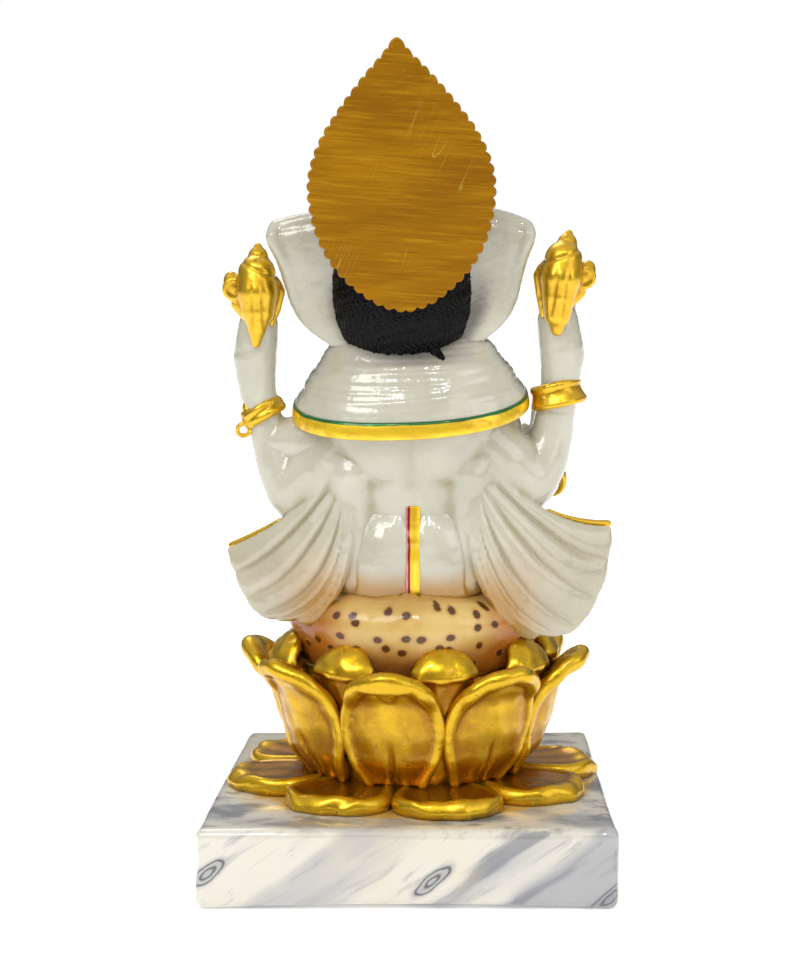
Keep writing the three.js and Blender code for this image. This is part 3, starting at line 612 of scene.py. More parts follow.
def makePlinth(s):
    low, high = plinthLow / mm, plinthHigh / mm
    size = high - low
    bm = bmesh.new()
    place = Matrix.Translation((0, 0, size.z / 2)) @ Matrix.Diagonal((*size, 1))
    bmesh.ops.create_cube(bm, size=1, matrix=place)
    for vert in bm.verts:
        if vert.co.y < 0:
            share = 1.0 if vert.co.z > 1 else 0.45
            vert.co.x -= s["leftLean"] * share if vert.co.x > 0 else -s["rightLean"] * share
    bmesh.ops.bevel(
        bm, geom=bm.edges[:], offset=s["rounding"], offset_type="OFFSET", segments=6, profile=0.5,
        affect="EDGES", material=-1,
    )
    for axis, span in ((0, size.x), (1, size.y), (2, size.z)):
        normal = Vector([float(axis == k) for k in range(3)])
        for i in range(1, int(span / s["step"])):
            spot = normal * (i * s["step"] + (low[axis] if axis < 2 else 0))
            everything = bm.verts[:] + bm.edges[:] + bm.faces[:]
            bmesh.ops.bisect_plane(bm, geom=everything, dist=1e-3, plane_co=spot, plane_no=normal)
    bmesh.ops.triangulate(bm, faces=[f for f in bm.faces if len(f.verts) > 4])
    mesh = meshFrom(bm)
    points, normals = readPoints(mesh)
    wave = ripple(points, s["waves"]) * smooth(points[:, 2], 1, 8)
    points += normals * (wave * s["unevenness"])[:, None]
    pinch = bump(points[:, 2], size.z * 0.62, size.z * 0.2) * smooth(points[:, 0], size.x * 0.4, size.x * 0.5)
    points[:, 0] -= 0.9 * pinch
    bend = 1 - (points[:, 0] / (size.x / 2)) ** 2
    points[:, 2] += s["arch"] * np.clip(bend, 0, 1) * (1 - smooth(points[:, 2], 0, 9))
    points[:, 0] = np.clip(points[:, 0], low.x, high.x)
    points[:, 1] = np.clip(points[:, 1], low.y, high.y)
    points[:, 2] = np.clip(points[:, 2], 0, size.z + 0.4)
    writePoints(mesh, points)
    # gold that ran out from under the low petals
    x, y = points[:, 0] - throneAt.x / mm, points[:, 1] / lotusShare
    reach, angle = np.hypot(x, y), np.arctan2(-x, y)
    petals = np.abs(np.cos(4 * (angle - math.radians(lowerRing["turn"]))))
    rim = s["giltReach"] + 4.5 * petals + 1.3 * np.sin(angle * 23)
    onTop = smooth(points[:, 2], size.z - 3, size.z - 1)
    addValue(mesh, "gilt", 0.85 * onTop * (1 - smooth(reach, rim, rim + 2.5)))
    finish("plinth_cast", mesh, Vector((0, 0, 0)), veinedMarble, ["plinth"])


lowerRing = dict(turn=13, root=33, tip=70, half=21.8, height=5.4, rim=1.2, dish=1.1, underside=0.35)
middleRing = dict(
    turn=-10, half=22.4, foot=6, top=51.5, wall=4.6, rimRadius=3.0, rimOut=-0.6, sideIn=5.0, crease=1.1,
    flap=(0, 3, 5),  # the petals whose top is turned over
    # how far the petal stands out at each share of its height
    out=[(0, 4.0), (0.25, 10.2), (0.5, 12.4), (0.7, 13.4), (0.86, 17.4), (1, 21.0)],
)
upperRing = dict(
    turn=13, foot=24, top=50.2, lipOut=6.4, lipWide=11.6, lipDeep=7.0, lipThick=3.0, droop=43,
    rimRadius=1.7,
)
coreShape = dict(radius=36, flare=5.5, height=45)


def coreRadius(z):
    return coreShape["radius"] + coreShape["flare"] * min(max(z / coreShape["height"], 0), 1.1)


def onOval(angle, radius, z):
    return Vector((-radius * math.sin(angle), radius * math.cos(angle) * lotusShare, z))


def lowerPetalShape(s, angle, wild):
    def shape(u, v):
        side = 2 * u - 1
        width = math.sqrt(max(0.0, 1 - max(0, (v - 0.5) / 0.56) ** 2)) * lerp(0.86, 1.0, min(1, v / 0.4))
        radius = lerp(s["root"], s["tip"] - 1.2, v) * (1 - 0.045 * side * side * v)
        radius += (0.7 * math.sin(3.4 * side + wild) + 0.4 * math.sin(8 * side + 2 * wild)) * v * v
        edge = max(abs(side) ** 1.3, v ** 1.2)
        z = s["height"] * (1 - 0.24 * v) - s["dish"] * (1 - edge ** 2)
        z += s["rim"] * math.exp(-(((edge - 0.88) / 0.11) ** 2)) * (0.4 + 0.6 * v)
        z += (0.5 * math.sin(4.5 * side + 2 * wild) + 0.25 * math.sin(11 * side + wild)) * v
        z -= 3.4 * max(0.0, (edge - 0.89) / 0.11) ** 1.5
        return onOval(angle + math.radians(s["half"]) * width * side, radius, max(z, 1.4))
    return shape


def middlePoint(s, angle, side, v, proud=0.0):
    # a point of a cupped petal: side runs from -1 to 1 over its width, v from its foot to its top
    out = table(s["out"], v) - s["sideIn"] * abs(side) ** 2.4 * (0.35 + 0.65 * v) + proud
    z = lerp(s["foot"], s["top"], v) - 1.6 * max(0.0, v - 0.86) / 0.14
    return onOval(angle + math.radians(s["half"]) * side, coreRadius(min(z, 46)) + out, z)


def middleHalf(v):
    # half width of the petal at that height: an arch on a narrower foot
    arch = max(0.0, 1 - max(0.0, (v - 0.42) / 0.585) ** 2) ** 0.62
    return arch * lerp(0.66, 1.0, math.sin(min(1.0, v / 0.45) * math.pi / 2))


def middlePetal(s, angle, wild, flap):
    def cup(u, v):
        return middlePoint(s, angle, (2 * u - 1) * max(0.08, middleHalf(v)) * 0.97, v)

    bm = bmesh.new()
    bm.from_mesh(sheetMesh(cup, 20, 20, s["wall"], levels=0))
    outline = [(-0.92 * middleHalf(v), v) for v in np.linspace(0.02, 0.40, 8)]
    for turn in np.linspace(0.05, math.pi - 0.05, 29):
        across = abs(math.cos(turn)) ** 1.24
        outline.append((-0.92 * math.copysign(across, math.cos(turn)), 0.42 + 0.57 * math.sin(turn)))
    outline += [(0.92 * middleHalf(v), v) for v in np.linspace(0.40, 0.02, 8)]
    chain = []
    for i, (side, v) in enumerate(outline):
        rise = smooth(v, 0.4, 1.0)
        sunk = s["rimOut"] + 0.2 * math.sin(0.9 * i + wild)
        radius = lerp(s["rimRadius"] * 0.74, s["rimRadius"] * 1.12, rise) + 0.14 * math.sin(1.3 * i + wild)
        chain.append((*middlePoint(s, angle, side, v, sunk), float(radius)))
    limb(bm, chain, 12)
    if flap:
        # the tongue turned over at the top of the petal
        for i in range(9):
            across = lerp(-0.30, 0.30, i / 8)
            bow = 1 - (across / 0.33) ** 2
            spot = middlePoint(s, angle, across, 0.885 + 0.02 * bow, 3.0)
            ball(bm, spot, (2.6, 1.6 + 0.6 * bow, 1.3 + 1.2 * bow), steps=14)
        for i in range(6):
            t = i / 5
            spot = middlePoint(s, angle, 0.03 * t, 0.87 - 0.085 * t, 2.6 - 1.2 * t)
            ball(bm, spot, (lerp(5.6, 1.2, t), 1.6, 1.5), steps=14)
    return bm


def upperPetal(s, angle, wild):
    bm = bmesh.new()
    outward = Vector((-math.sin(angle), math.cos(angle), 0))
    spin = math.degrees(math.atan2(outward.x, -outward.y))
    foot = onOval(angle, coreRadius(s["foot"]) + 1.0, s["foot"])
    throat = onOval(angle, coreRadius(45) + 5.6, s["top"] - 2.6)
    lip = onOval(angle, coreRadius(46) + s["lipOut"], s["top"] + 3.2)

    def flare(t):
        # half width of the funnel, from its foot to its throat
        return lerp(2.6, 11.6, t ** 0.9)

    for t in np.linspace(0, 1, 25):
        ball(bm, foot.lerp(throat, t), (flare(t), lerp(2.0, 5.6, t), 2.4), (14, 0, spin), steps=18)
    aside = Vector((outward.y, -outward.x, 0))
    for hand in (-1, 1):
        edge = []
        for i in range(9):
            t = lerp(0.15, 1.0, i / 8)
            spot = foot.lerp(throat, t) + aside * hand * (flare(t) - 1.0) + outward * (1.0 + 1.6 * t)
            edge.append((*spot, lerp(1.1, 1.9, t)))
        limb(bm, edge, 12)
    aim = Matrix.Rotation(math.radians(spin), 4, "Z") @ Matrix.Rotation(math.radians(s["droop"]), 4, "X")
    tilt = Matrix.Translation(lip) @ aim
    wide, deep, thick = s["lipWide"], s["lipDeep"], s["lipThick"]
    bmesh.ops.create_uvsphere(
        bm, u_segments=32, v_segments=16, radius=1, matrix=tilt @ Matrix.Diagonal((wide, deep, thick, 1)),
    )
    chain = []
    for turn in np.radians(np.linspace(-96, 96, 19)):
        sway = -0.6 + 0.6 * math.sin(2.2 * turn + wild)
        point = tilt @ Vector((wide * 0.97 * math.sin(turn), -deep * 0.95 * math.cos(turn), sway))
        chain.append((*point, s["rimRadius"] * (0.75 + 0.35 * math.cos(turn))))
    limb(bm, chain, 12)
    return bm


def turnedFrom(angle, x, y):
    return (np.arctan2(-x, y / lotusShare) - angle + math.pi) % math.tau - math.pi


def makeLotusCore(s):
    radius = s["radius"]
    bm = bmesh.new()
    spun(bm, [(0, 0.3), (radius, 0.3), (radius + 1.5, 12), (radius + 3.5, 30),
              (radius + s["flare"], s["height"]), (0, s["height"])], lotusShare)
    mesh = meshFrom(bm)
    markHollows(mesh, 1, 1.0)
    finish("lotus_core_cast", mesh, throneAt, lotusGilt, ["lotus_core"])


def makeLowerPetal(s, number, angle, wild):
    mesh = sheetMesh(lowerPetalShape(s, angle, wild), 30, 26, 1.4)
    points, normals = readPoints(mesh)
    under = normals[:, 2] < -0.2
    points[under, 2] = s["underside"]
    writePoints(mesh, points)
    markHollows(mesh, 14, 1.3)
    # painted shade: deeper amber on the inner part that lies under the middle petals
    inside = np.hypot(points[:, 0], points[:, 1] / lotusShare)
    deeper = 0.34 * (1 - smooth(inside, 58, 66))
    addValue(mesh, "hollow", np.clip(readValue(mesh, "hollow") + deeper, 0, 1))
    node = f"lower_petal_{number}"
    finish(f"{node}_cast", mesh, throneAt, lotusGilt, [node])


def makeMiddlePetal(s, number, angle, wild):
    shares = np.linspace(0, 1, 65)
    outs = np.array([table(s["out"], k) for k in shares])
    radii = np.array([coreRadius(min(lerp(s["foot"], s["top"], k), 46)) for k in shares])

    def carve(points, normals):
        x, y, z = points.T
        turn = turnedFrom(angle, x, y)
        crease = s["crease"] * bump(turn, 0, 0.018) * (1 - smooth(z, 14, 26))
        ripples = 0.18 * np.sin(30 * turn + 0.25 * z) * bump(turn, 0, 0.2) * smooth(z, 10, 20)
        return points + normals * (ripples - crease)[:, None]

    def paint(points, normals, hollow):
        # painted shade over the gilt's hollows: deep amber in the cup and at the foot; painted highlight:
        # bright on the rim and down the middle
        x, y, z = points.T
        v = np.clip((z - s["foot"]) / (s["top"] - s["foot"]), 0, 1)
        side = np.abs(turnedFrom(angle, x, y)) / math.radians(s["half"])
        cup = np.interp(v, shares, outs + radii) - s["sideIn"] * side ** 2.4 * (0.35 + 0.65 * v)
        proud = smooth(np.hypot(x, y / lotusShare) - cup, 0.3, 2.2)
        streak = 0.16 * bump(side, 0, 0.35) * smooth(v, 0.1, 0.5)
        deeper = 0.20 * (1 - proud) + 0.2 * (1 - smooth(v, 0.05, 0.4)) - streak - 0.14 * proud
        return dict(hollow=np.clip(hollow + deeper, 0, 1))

    bm = middlePetal(s, angle, wild, number - 1 in s["flap"])
    node = f"middle_petal_{number}"
    cast(f"{node}_cast", bm, throneAt, lotusGilt, [node],
         voxel=0.8, rounds=7, carve=carve, paint=paint, hollows=(10, 1.1))


def makeUpperPetal(s, number, angle, wild):
    def carve(points, normals):
        # the lip's ends droop, and its face is a little lumpy
        x, y, z = points.T
        aside = turnedFrom(angle, x, y) * 46
        lumps = 0.25 * np.sin(0.9 * aside + wild) * np.sin(0.7 * np.hypot(x, y) + 2 * wild)
        drop = 0.020 * aside ** 2 * smooth(z, 45, 51)
        return points + normals * lumps[:, None] - drop[:, None] * np.array([0, 0, 1.0])

    def paint(points, normals, hollow):
        # painted shadow: deeper colour on the funnel under the overhanging lip
        under = 1 - smooth(points[:, 2], 46, 53)
        return dict(hollow=np.clip(hollow + 0.30 * under, 0, 1))

    node = f"upper_petal_{number}"
    cast(f"{node}_cast", upperPetal(s, angle, wild), throneAt, lotusGilt, [node],
         voxel=0.7, rounds=6, carve=carve, paint=paint, hollows=(8, 0.9))


def makeLotus():
    makeLotusCore(coreShape)
    for i in range(8):
        wild = 1.3 * i + 0.4  # what makes each petal a little different
        for makePetal, ring in (
            (makeLowerPetal, lowerRing), (makeMiddlePetal, middleRing), (makeUpperPetal, upperRing),
        ):
            makePetal(ring, i + 1, math.radians(ring["turn"] + 45 * i), wild)


seatPiece = dict(
    profile=[
        (0, 44.6), (36, 44.6), (41, 47), (43.5, 52), (45.8, 58), (47.4, 63), (46.6, 67.6), (43.5, 71.2),
        (38, 73.8), (30, 75.2), (0, 75.6),
    ],
)


def makeSeat(s):
    bm = bmesh.new()
    spun(bm, s["profile"], lotusShare, 128)

    def carve(points, normals):
        x, y, z = points.T
        angle = np.arctan2(x, y)
        lumps = 0.7 * np.sin(3 * angle + 0.6) + 0.5 * np.sin(5 * angle + 2.0) + 0.3 * np.sin(9 * angle)
        return points + normals * (lumps * smooth(z, 46, 56))[:, None]

    def paint(points, normals, hollow):
        x, y, z = points.T
        back = np.cos(np.arctan2(x, y / lotusShare))
        sides = smooth(np.abs(x), 19, 38)
        low = 1 - smooth(z, 51, 63)
        high = smooth(z, 71.5, 75.5)
        return dict(
            airbrushAndShade=np.clip(0.95 * sides + 0.8 * low + 0.35 * high, 0, 0.95),
            froth=np.clip(1 - smooth(z, 52, 66) + 0.2, 0, 1),
            around=np.arctan2(x, y / lotusShare) * 47, rise=z * 1.25 + 0.25 * back,
        )

    cast("seat_cushion_cast", bm, throneAt, leopardSkin, ["seat_cushion"],
         voxel=1.1, rounds=5, carve=carve, paint=paint)


torsoPiece = dict(
    outline=[
        (24, -1), (27, 10), (27.2, 20), (25.4, 30), (27.5, 39), (32, 49), (35.5, 57), (36, 63), (32, 71),
        (27, 79), (20, 88), (0, 92),
    ],
    share=0.76, blade=1.3, spine=1.0,
)


def backLines(points, normals, s):
    # the spine's groove, the swell of the shoulder blades and the crease of the waist
    x, y, z = points.T
    back = smooth(y, 4, 12)
    move = -s["spine"] * bump(x, 0, 4.2) * smooth(z, 28, 40) * (1 - smooth(z, 56, 62))
    for side in (-1, 1):
        move += s["blade"] * np.exp(-(((x - side * 13) / 9) ** 2) - (((z - 46) / 8) ** 2))
        move -= 0.45 * bump(z, 39.0 + 0.12 * np.abs(x - side * 13), 2.4) * bump(x, side * 13, 9)
    return points + normals * (move * back)[:, None]


wingPieces = {
    # the curves run from the crest, past the outer edge and the low corner, along the hem to the hip
    "left": dict(
        root=[(24, 9, 44), (23.5, 14, 38), (22.5, 16.5, 34), (21.8, 17.5, 31), (21, 18, 28)],
        sweep=[(41.4, 11.5, 24.5), (37.5, 18, 10.5), (24, 23, 1), (22.5, 23, -2), (21, 21, 8)],
        outer=[(65.6, 3, 13), (60.5, 9.5, -0.3), (53.2, 13.6, -9.6), (41, 18.8, -10.2), (27, 20.5, -1.5)],
    ),
    "right": dict(
        root=[(-24, 9, 46), (-23.5, 14, 40), (-22.5, 16.5, 35), (-21.8, 17.5, 31), (-21, 18, 28)],
        sweep=[(-49.5, 11.5, 21.8), (-46.5, 18, 9), (-31, 23, -1), (-25, 23.5, -5), (-21, 21, 8)],
        outer=[
            (-72.4, 3, 21.4), (-69.3, 8.2, 2.5), (-59.5, 12.4, -14), (-46.5, 17.6, -15.6),
            (-27.5, 20.5, -1.5),
        ],
    ),
}
wingFolds = dict(count=6.6, relief=1.9, wall=4.2)


def wingPoint(s, u, v):
    # u runs along a fold, from the waist to the edge; v from the crest round to the hem
    a, b, c = (Vector(curveAt(s[key], v)) for key in ("root", "sweep", "outer"))
    return a * (1 - u) ** 2 + b * 2 * u * (1 - u) + c * u * u


armPieces = {
    # place and radius from the shoulder, round the elbow, to the hand; cut is where the arm leaves the body
    "left": dict(side=1, cut=61.5, chain=[
        (24, 4, 53, 13.5), (33, 4, 43, 12.4), (42.6, 3, 35.3, 10.4), (47.3, 1.5, 43.5, 8.8),
        (50.9, 0, 52.5, 7.1), (52.8, 0, 61, 6.2), (55.6, 0, 72, 6.8), (56.2, 0, 83, 8.0),
        (54.8, 1, 94, 7.4),
    ]),
    "right": dict(side=-1, cut=69.5, chain=[
        (-24, 4, 54, 13.5), (-34, 4, 46, 12.4), (-43.4, 3, 38.4, 10.3), (-48.4, 1.5, 46, 9.1),
        (-51.4, 0, 55, 7.9), (-52.9, 0, 64, 7.1), (-54.2, 0, 74, 7.0), (-54.8, 0, 84, 8.3),
        (-53.0, 1, 96, 7.6),
    ]),
}


def makeBody(s):
    bm = bmesh.new()
    spun(bm, [(0, s["outline"][0][1])] + s["outline"], s["share"])
    ball(bm, (0, -14, 32), (27, 26, 26))
    trees = []
    steps, turns = 120, 160
    for name, wing in wingPieces.items():
        arm = armPieces[name]
        side = arm["side"]
        ball(bm, (side * 13, -15, 61), (14, 11, 11))
        ball(bm, (side * 29, -2, 56), (12, 12, 11))
        limb(bm, [spot for spot in arm["chain"] if spot[2] < arm["cut"] + 4])
        # the cloth that hangs from under the arm, and where it leaves the waist
        limb(bm, [(side * 24, 7, 46, 11.5), (side * 34, 6.5, 36, 8.6), (side * 42, 5, 28.5, 6.2)])
        limb(bm, [(side * 21, 12, 42, 9), (side * 21.5, 13, 30, 7.8), (side * 21, 14, 18, 7.0),
                  (side * 20, 14, 4, 6.6)])
        cloth = sheetMesh(
            lambda u, v: wingPoint(wing, 1 - u if side > 0 else u, v), 34, 56, wingFolds["wall"], levels=0,
        )
        bm.from_mesh(cloth)
        # where each spot of the cloth lies along its folds and across them
        fan = KDTree((steps + 1) * (turns + 1))
        for i in range(steps + 1):
            for j in range(turns + 1):
                fan.insert(wingPoint(wing, i / steps, j / turns), i * (turns + 1) + j)
        fan.balance()
        trees.append((side, fan))

    def carve(points, normals):
        points = backLines(points, normals, s)
        x, y, z = points.T
        navel = np.exp(-((x / 2.2) ** 2) - (((z - 27) / 2.2) ** 2)) * smooth(-y, 20, 30)
        under = bump(z, 53 - 0.02 * x * x, 1.7) * smooth(-y, 12, 20) * (1 - smooth(np.abs(x), 22, 27))
        points = points - normals * (2.2 * navel + 1.2 * under)[:, None]
        move = np.zeros(len(points))
        for side, fan in trees:
            near = np.nonzero((points[:, 0] * side > 17) & (points[:, 2] < 48) & (points[:, 1] > -6))[0]
            for k in near:
                _, index, gap = fan.find(points[k])
                u, v = index // (turns + 1) / steps, index % (turns + 1) / turns
                if gap > 7.5:
                    continue
                way = wingFolds["count"] * v + 0.10 * math.sin(5 * u + 2 * v)
                ridge = -0.5 * math.cos(math.tau * (way + 0.12 * math.sin(math.tau * way)))
                swell = min(1.0, u / 0.3) * min(1.0, v / 0.09) * (1 - 0.3 * max(0.0, u - 0.85) / 0.15)
                swell *= 0.62 + 0.38 * math.sin(3.1 * u + 4.0 * v)
                move[k] = wingFolds["relief"] * ridge * swell * (1 - max(0.0, (gap - 4.5) / 3.0))
        return points + normals * move[:, None]

    def paint(points, normals, hollow):
        x, y, z = points.T
        inner = 1 - smooth(np.abs(x), 26, 54)
        low = inner * (1 - smooth(z, -10, 19))
        # an orange wash over the lower wings: partly the airbrush, partly painted shade
        wash = smooth(np.abs(x), 21, 29) * (1 - smooth(z, 14, 44)) * 0.17
        return dict(airbrushAndShade=np.clip(1.15 * low + wash, 0, 0.95))

    wings = [f"{name}_shawl_wing" for name in wingPieces]
    cast(
        "body_cast", bm, figureAt, whiteMarble, ["torso"] + wings, voxel=0.85, rounds=16,
        carve=carve, after=1, paint=paint, hollows=(14, 0.7),
    )
    for name, wing in wingPieces.items():
        bm = bmesh.new()
        chain = []
        for i in range(25):
            t = lerp(0.60 if name == "left" else 0.52, 0.995, i / 24)
            point = wingPoint(wing, t, 0.0)
            chain.append((point.x, point.y - 1.2, point.z + 0.75, lerp(0.9, 1.3, t) + 0.15 * math.sin(9 * t)))
        limb(bm, chain, 12)
        cast(
            f"{name}_wing_edge_cast", bm, figureAt, trimGilt, [f"{name}_wing_edge"],
            voxel=0.5, rounds=4, hollows=(6, 0.5),
        )


dhotiPiece = dict(top=31.5, share=0.77)


def makeDhoti(s):
    bm = bmesh.new()
    top = s["top"]
    outline = [(0, -1.5), (29, -1.5), (31, 4), (31.3, 11), (30.6, 19), (28.6, 26), (27.0, top - 1.5)]
    spun(bm, outline + [(25.5, top), (0, top)], s["share"])

    def carve(points, normals):
        x, y, z = points.T
        back = smooth(y, 3, 12)
        points[:, 1] += 2.6 * bump(np.abs(x), 21, 8.5) * back * (1 - smooth(z, 8, 28))
        move = -1.5 * bump(x, -0.6, 3.0) * back
        move += 0.9 * (bump(x, 11, 6) + bump(x, -12, 6)) * back * (1 - smooth(z, 24, 31))
        move -= 0.7 * (bump(x, 21.5, 2.2) + bump(x, -22, 2.2)) * back
        move -= 1.7 * smooth(z, 19, 31) * back
        move += 1.2 * (1 - smooth(z, -1, 5)) * back
        pleats = 0.5 * np.sin(1.15 * np.hypot(x, z) + 0.2 * x) * smooth(-y, 2, 10)
        return points + normals * (move + pleats)[:, None]

    def paint(points, normals, hollow):
        x, y, z = points.T
        edge = smooth(np.abs(x), 12, 24)
        return dict(airbrushAndShade=np.clip(1.15 * (1 - smooth(z, -1, 11 + 4 * edge)), 0, 0.95))

    cast(
        "dhoti_cast", bm, figureAt, whiteMarble, ["dhoti"], voxel=0.9, rounds=6,
        carve=carve, paint=paint,
    )

    def pleat(u, v):
        z = lerp(0.5, top + 0.6, v)
        x = -0.9 + lerp(2.7, -2.7, u) * (1 + 0.04 * math.sin(9 * v))
        radius = table([(-2, 30.6), (4, 31.4), (11, 31.3), (19, 30.4), (26, 27.6), (32, 26.2)], z)
        swell = 0.5 * math.sin(math.pi * u)
        return Vector((x, math.sqrt(radius ** 2 - x * x) * s["share"] - 0.55 + swell, z))

    mesh = sheetMesh(pleat, 10, 40, 1.6, levels=1)
    points, normals = readPoints(mesh)
    if normals[np.argmax(points[:, 1])][1] < 0:
        mesh.flip_normals()
    markPlain(mesh)
    finish("back_pleat_cast", mesh, figureAt, pleatPaint, ["back_pleat"])


shawlPiece = dict(
    # half width, half depth and height, from the border's foot to the neck
    rings=[
        (42.6, 30.2, 57.6), (41.6, 29.2, 64.4), (38.6, 27, 70.2), (35.6, 24.4, 76), (31.8, 20.8, 82.2),
        (27.8, 16.4, 87.8), (21, 11, 91),
    ],
    wall=3.2, borderShare=0.165, open=40, lift=2.5, rise=6.0, squareness=0.88,
)


def shawlPoint(s, turn, share, proud=0.0):
    # turn is measured from the back, in radians; share runs from the border's foot to the neck
    wide, deep, z = curveAt(s["rings"], share)
    c, d = math.cos(turn), math.sin(turn)
    k = s["squareness"]
    x = (wide + proud) * math.copysign(abs(d) ** k, d)
    y = (deep + proud) * math.copysign(abs(c) ** k, c)
    tilt = -s["lift"] * d * (1 - share)
    ends = s["rise"] * (1 - math.cos(turn)) * (1 - share)
    return Vector((x, y, z + tilt + ends))


def makeShawl(s):
    reach = math.radians(180 - s["open"])

    def folds(points, normals, share, turn):
        sag = share + 0.040 * np.sin(1.7 * turn + 0.5) + 0.018 * np.sin(4.3 * turn + 1.1)
        faint = 0.5 + 0.5 * np.sin(3.1 * turn + 9 * share)
        crossing = np.sin(77 * share - 2.2 * np.cos(turn * 1.3))
        lines = 0.09 * np.sin(52 * sag) * faint + 0.075 * crossing * (1 - faint)
        lines += 0.26 * np.sin(17 * sag - 2.6 * np.cos(turn * 1.7))
        return points + normals * (lines * smooth(share, 0.0, 0.25))[:, None]

    low = s["borderShare"] - 0.02
    mesh = sheetMesh(
        lambda u, v: shawlPoint(s, lerp(reach, -reach, u), lerp(low, 1.0, v)), 130, 60, s["wall"], levels=1,
    )
    points, normals = readPoints(mesh)
    outer = normals[:, 1] * points[:, 1] + normals[:, 0] * points[:, 0] > 0
    moved = folds(points, normals, readValue(mesh, "along"), lerp(reach, -reach, readValue(mesh, "across")))
    points[outer] = moved[outer]
    writePoints(mesh, points)
    markHollows(mesh, 10, 0.9)
    nape = bump(points[:, 0], -1, 19) * smooth(points[:, 2], 80.5, 86) * smooth(points[:, 1], 6, 14)
    addValue(mesh, "soot", 0.7 * nape)
    finish("shawl_cast", mesh, figureAt, whiteMarble, ["shawl"])

    def border(u, v):
        bead = 0.55 * math.sin(math.pi * v) ** 0.7
        return shawlPoint(s, lerp(reach, -reach, u), lerp(-0.005, s["borderShare"], v), 0.25 + bead)

    mesh = sheetMesh(border, 120, 8, s["wall"] + 0.4, levels=1)
    markHollows(mesh, 3, 1.0)
    finish("shawl_border_cast", mesh, figureAt, borderPaint, ["shawl_border"])


frontArmPieces = {
    "left": dict(chain=[
        (29, -13, 54, 10), (37, -20, 45, 8.6), (40.5, -25, 37.5, 7.8), (38.5, -33, 36, 6.2),
        (36, -41, 37, 5.4), (33, -46, 41, 6.0),
    ]),
    "right": dict(chain=[
        (-29, -13, 52, 10), (-39, -18, 42, 8.6), (-46.5, -23, 34, 7.8), (-50, -29, 32, 6.4),
        (-52.5, -35, 32, 5.3), (-52.5, -39.5, 37, 5.8),
    ]),
}


def finger(bm, start, bend, tip, radius):
    limb(bm, [(*start, radius), (*bend, radius * 0.95), (*tip, radius * 0.75)], 14)


def makeArms():
    for name, s in armPieces.items():
        side = s["side"]
        bm = bmesh.new()
        limb(bm, [spot for spot in s["chain"] if spot[2] > s["cut"] - 10])
        x, y, z, _ = s["chain"][-1]
        for i in range(4):
            # curled round the stalk, towards the front
            top = z + 6.0 - 3.6 * i
            finger(bm, (x + side * 5.5, y - 4, top), (x + side * 1.5, y - 8.4, top + 0.6),
                   (x - side * 3.6, y - 7.6, top - 0.2), 1.8)
        finger(bm, (x - side * 4.5, y - 3, z + 2), (x - side * 3.6, y - 7.4, z + 5.6),
               (x - side * 0.4, y - 8.8, z + 8.2), 1.95)

        def carve(points, normals):
            x, y, z = points.T
            wrinkle = 0.08 * np.sin(0.9 * z + 0.35 * x) * smooth(z, 64, 72) * (1 - smooth(z, 84, 92))
            return points + normals * wrinkle[:, None]

        cast(
            f"{name}_rear_arm_cast", bm, figureAt, whiteMarble, [f"{name}_rear_arm"],
            voxel=0.75, rounds=14, carve=carve,
        )
    for name, s in frontArmPieces.items():
        bm = bmesh.new()
        limb(bm, s["chain"])
        if name == "left":
            ball(bm, (31.5, -48, 45), (6.6, 5.2, 3.6), (18, 0, 20))
            for i in range(4):
                spot = 36.5 - 3.3 * i
                finger(bm, (spot, -51.5, 45.5), (spot - 0.5, -56.2, 48.5), (spot - 1.2, -56.6, 53.2), 1.65)
            finger(bm, (25.6, -47.5, 46), (23.4, -50, 50), (24.6, -51, 54), 1.8)
        else:
            ball(bm, (-52, -43, 43.5), (6.2, 3.6, 7.0), (-8, 0, -6))
            for i in range(4):
                spot = -56.8 + 3.2 * i
                rise = (53.5, 57.4, 58.6, 57)[i]
                finger(bm, (spot + 0.4, -43.2, 48), (spot + 0.1, -43.4, 52.5), (spot, -42.4, rise), 1.65)
            finger(bm, (-47.2, -44, 43), (-43.8, -45.4, 46.5), (-43.8, -45.4, 50.6), 1.75)
        cast(
            f"{name}_front_arm_cast", bm, figureAt, whiteMarble, [f"{name}_front_arm"],
            voxel=0.7, rounds=5,
        )


cuff = [(-1.9, 1.1, 1.5, 0), (-0.6, 0.5, 1.5, 0), (1.0, 0.0, 1.4, 0), (2.6, -0.2, 1.3, 0), (4.2, 0.1, 1.5, 3)]
twist = [(0, 0, 1.8, 0), (1.6, -0.4, 1.6, 4), (3.4, -0.6, 1.7, -5), (1.8, 0.5, 1.2, 12)]
plain = [(0, 0, 1.5, 0), (1.2, -0.6, 1.2, 2), (2.4, -0.2, 1.3, 3)]
braceletPieces = {
    "left_rear": dict(at=(52.9, 0, 61.8), radius=6.9, turn=(6, 30, 0), rings=twist),
    "right_rear": dict(at=(-53.4, 0, 68.4), radius=7.9, turn=(6, 12, 0), rings=cuff),
    "left_front": dict(at=(36.6, -40.0, 36.8), radius=5.9, turn=(66, 0, 24), rings=plain),
    "right_front": dict(at=(-52.0, -33.2, 31.9), radius=6.0, turn=(70, 0, -14), rings=plain),
}


def makeBracelets():
    for name, s in braceletPieces.items():
        bm = bmesh.new()
        centre = Vector(s["at"])
        lean = Euler([math.radians(a) for a in s["turn"]]).to_matrix()
        for rise, wider, wire, tip in s["rings"]:
            turn = (s["turn"][0] + tip, s["turn"][1] + 0.4 * tip, s["turn"][2])
            ringOf(bm, centre + lean @ Vector((0, 0, rise)), s["radius"] + wider, wire, turn)
        if name == "left_rear":
            ringOf(bm, (60.2, 3.5, 57.2), 2.6, 0.9, (70, 0, 20), 24, 10)  # the clasp's loop
            ball(bm, (59.2, 2.0, 64.5), (1.8, 2.4, 3.0))
        cast(
            f"{name}_bracelet_cast", bm, figureAt, trimGilt, [f"{name}_bracelet"],
            voxel=0.5, rounds=3, hollows=(6, 0.6),
        )


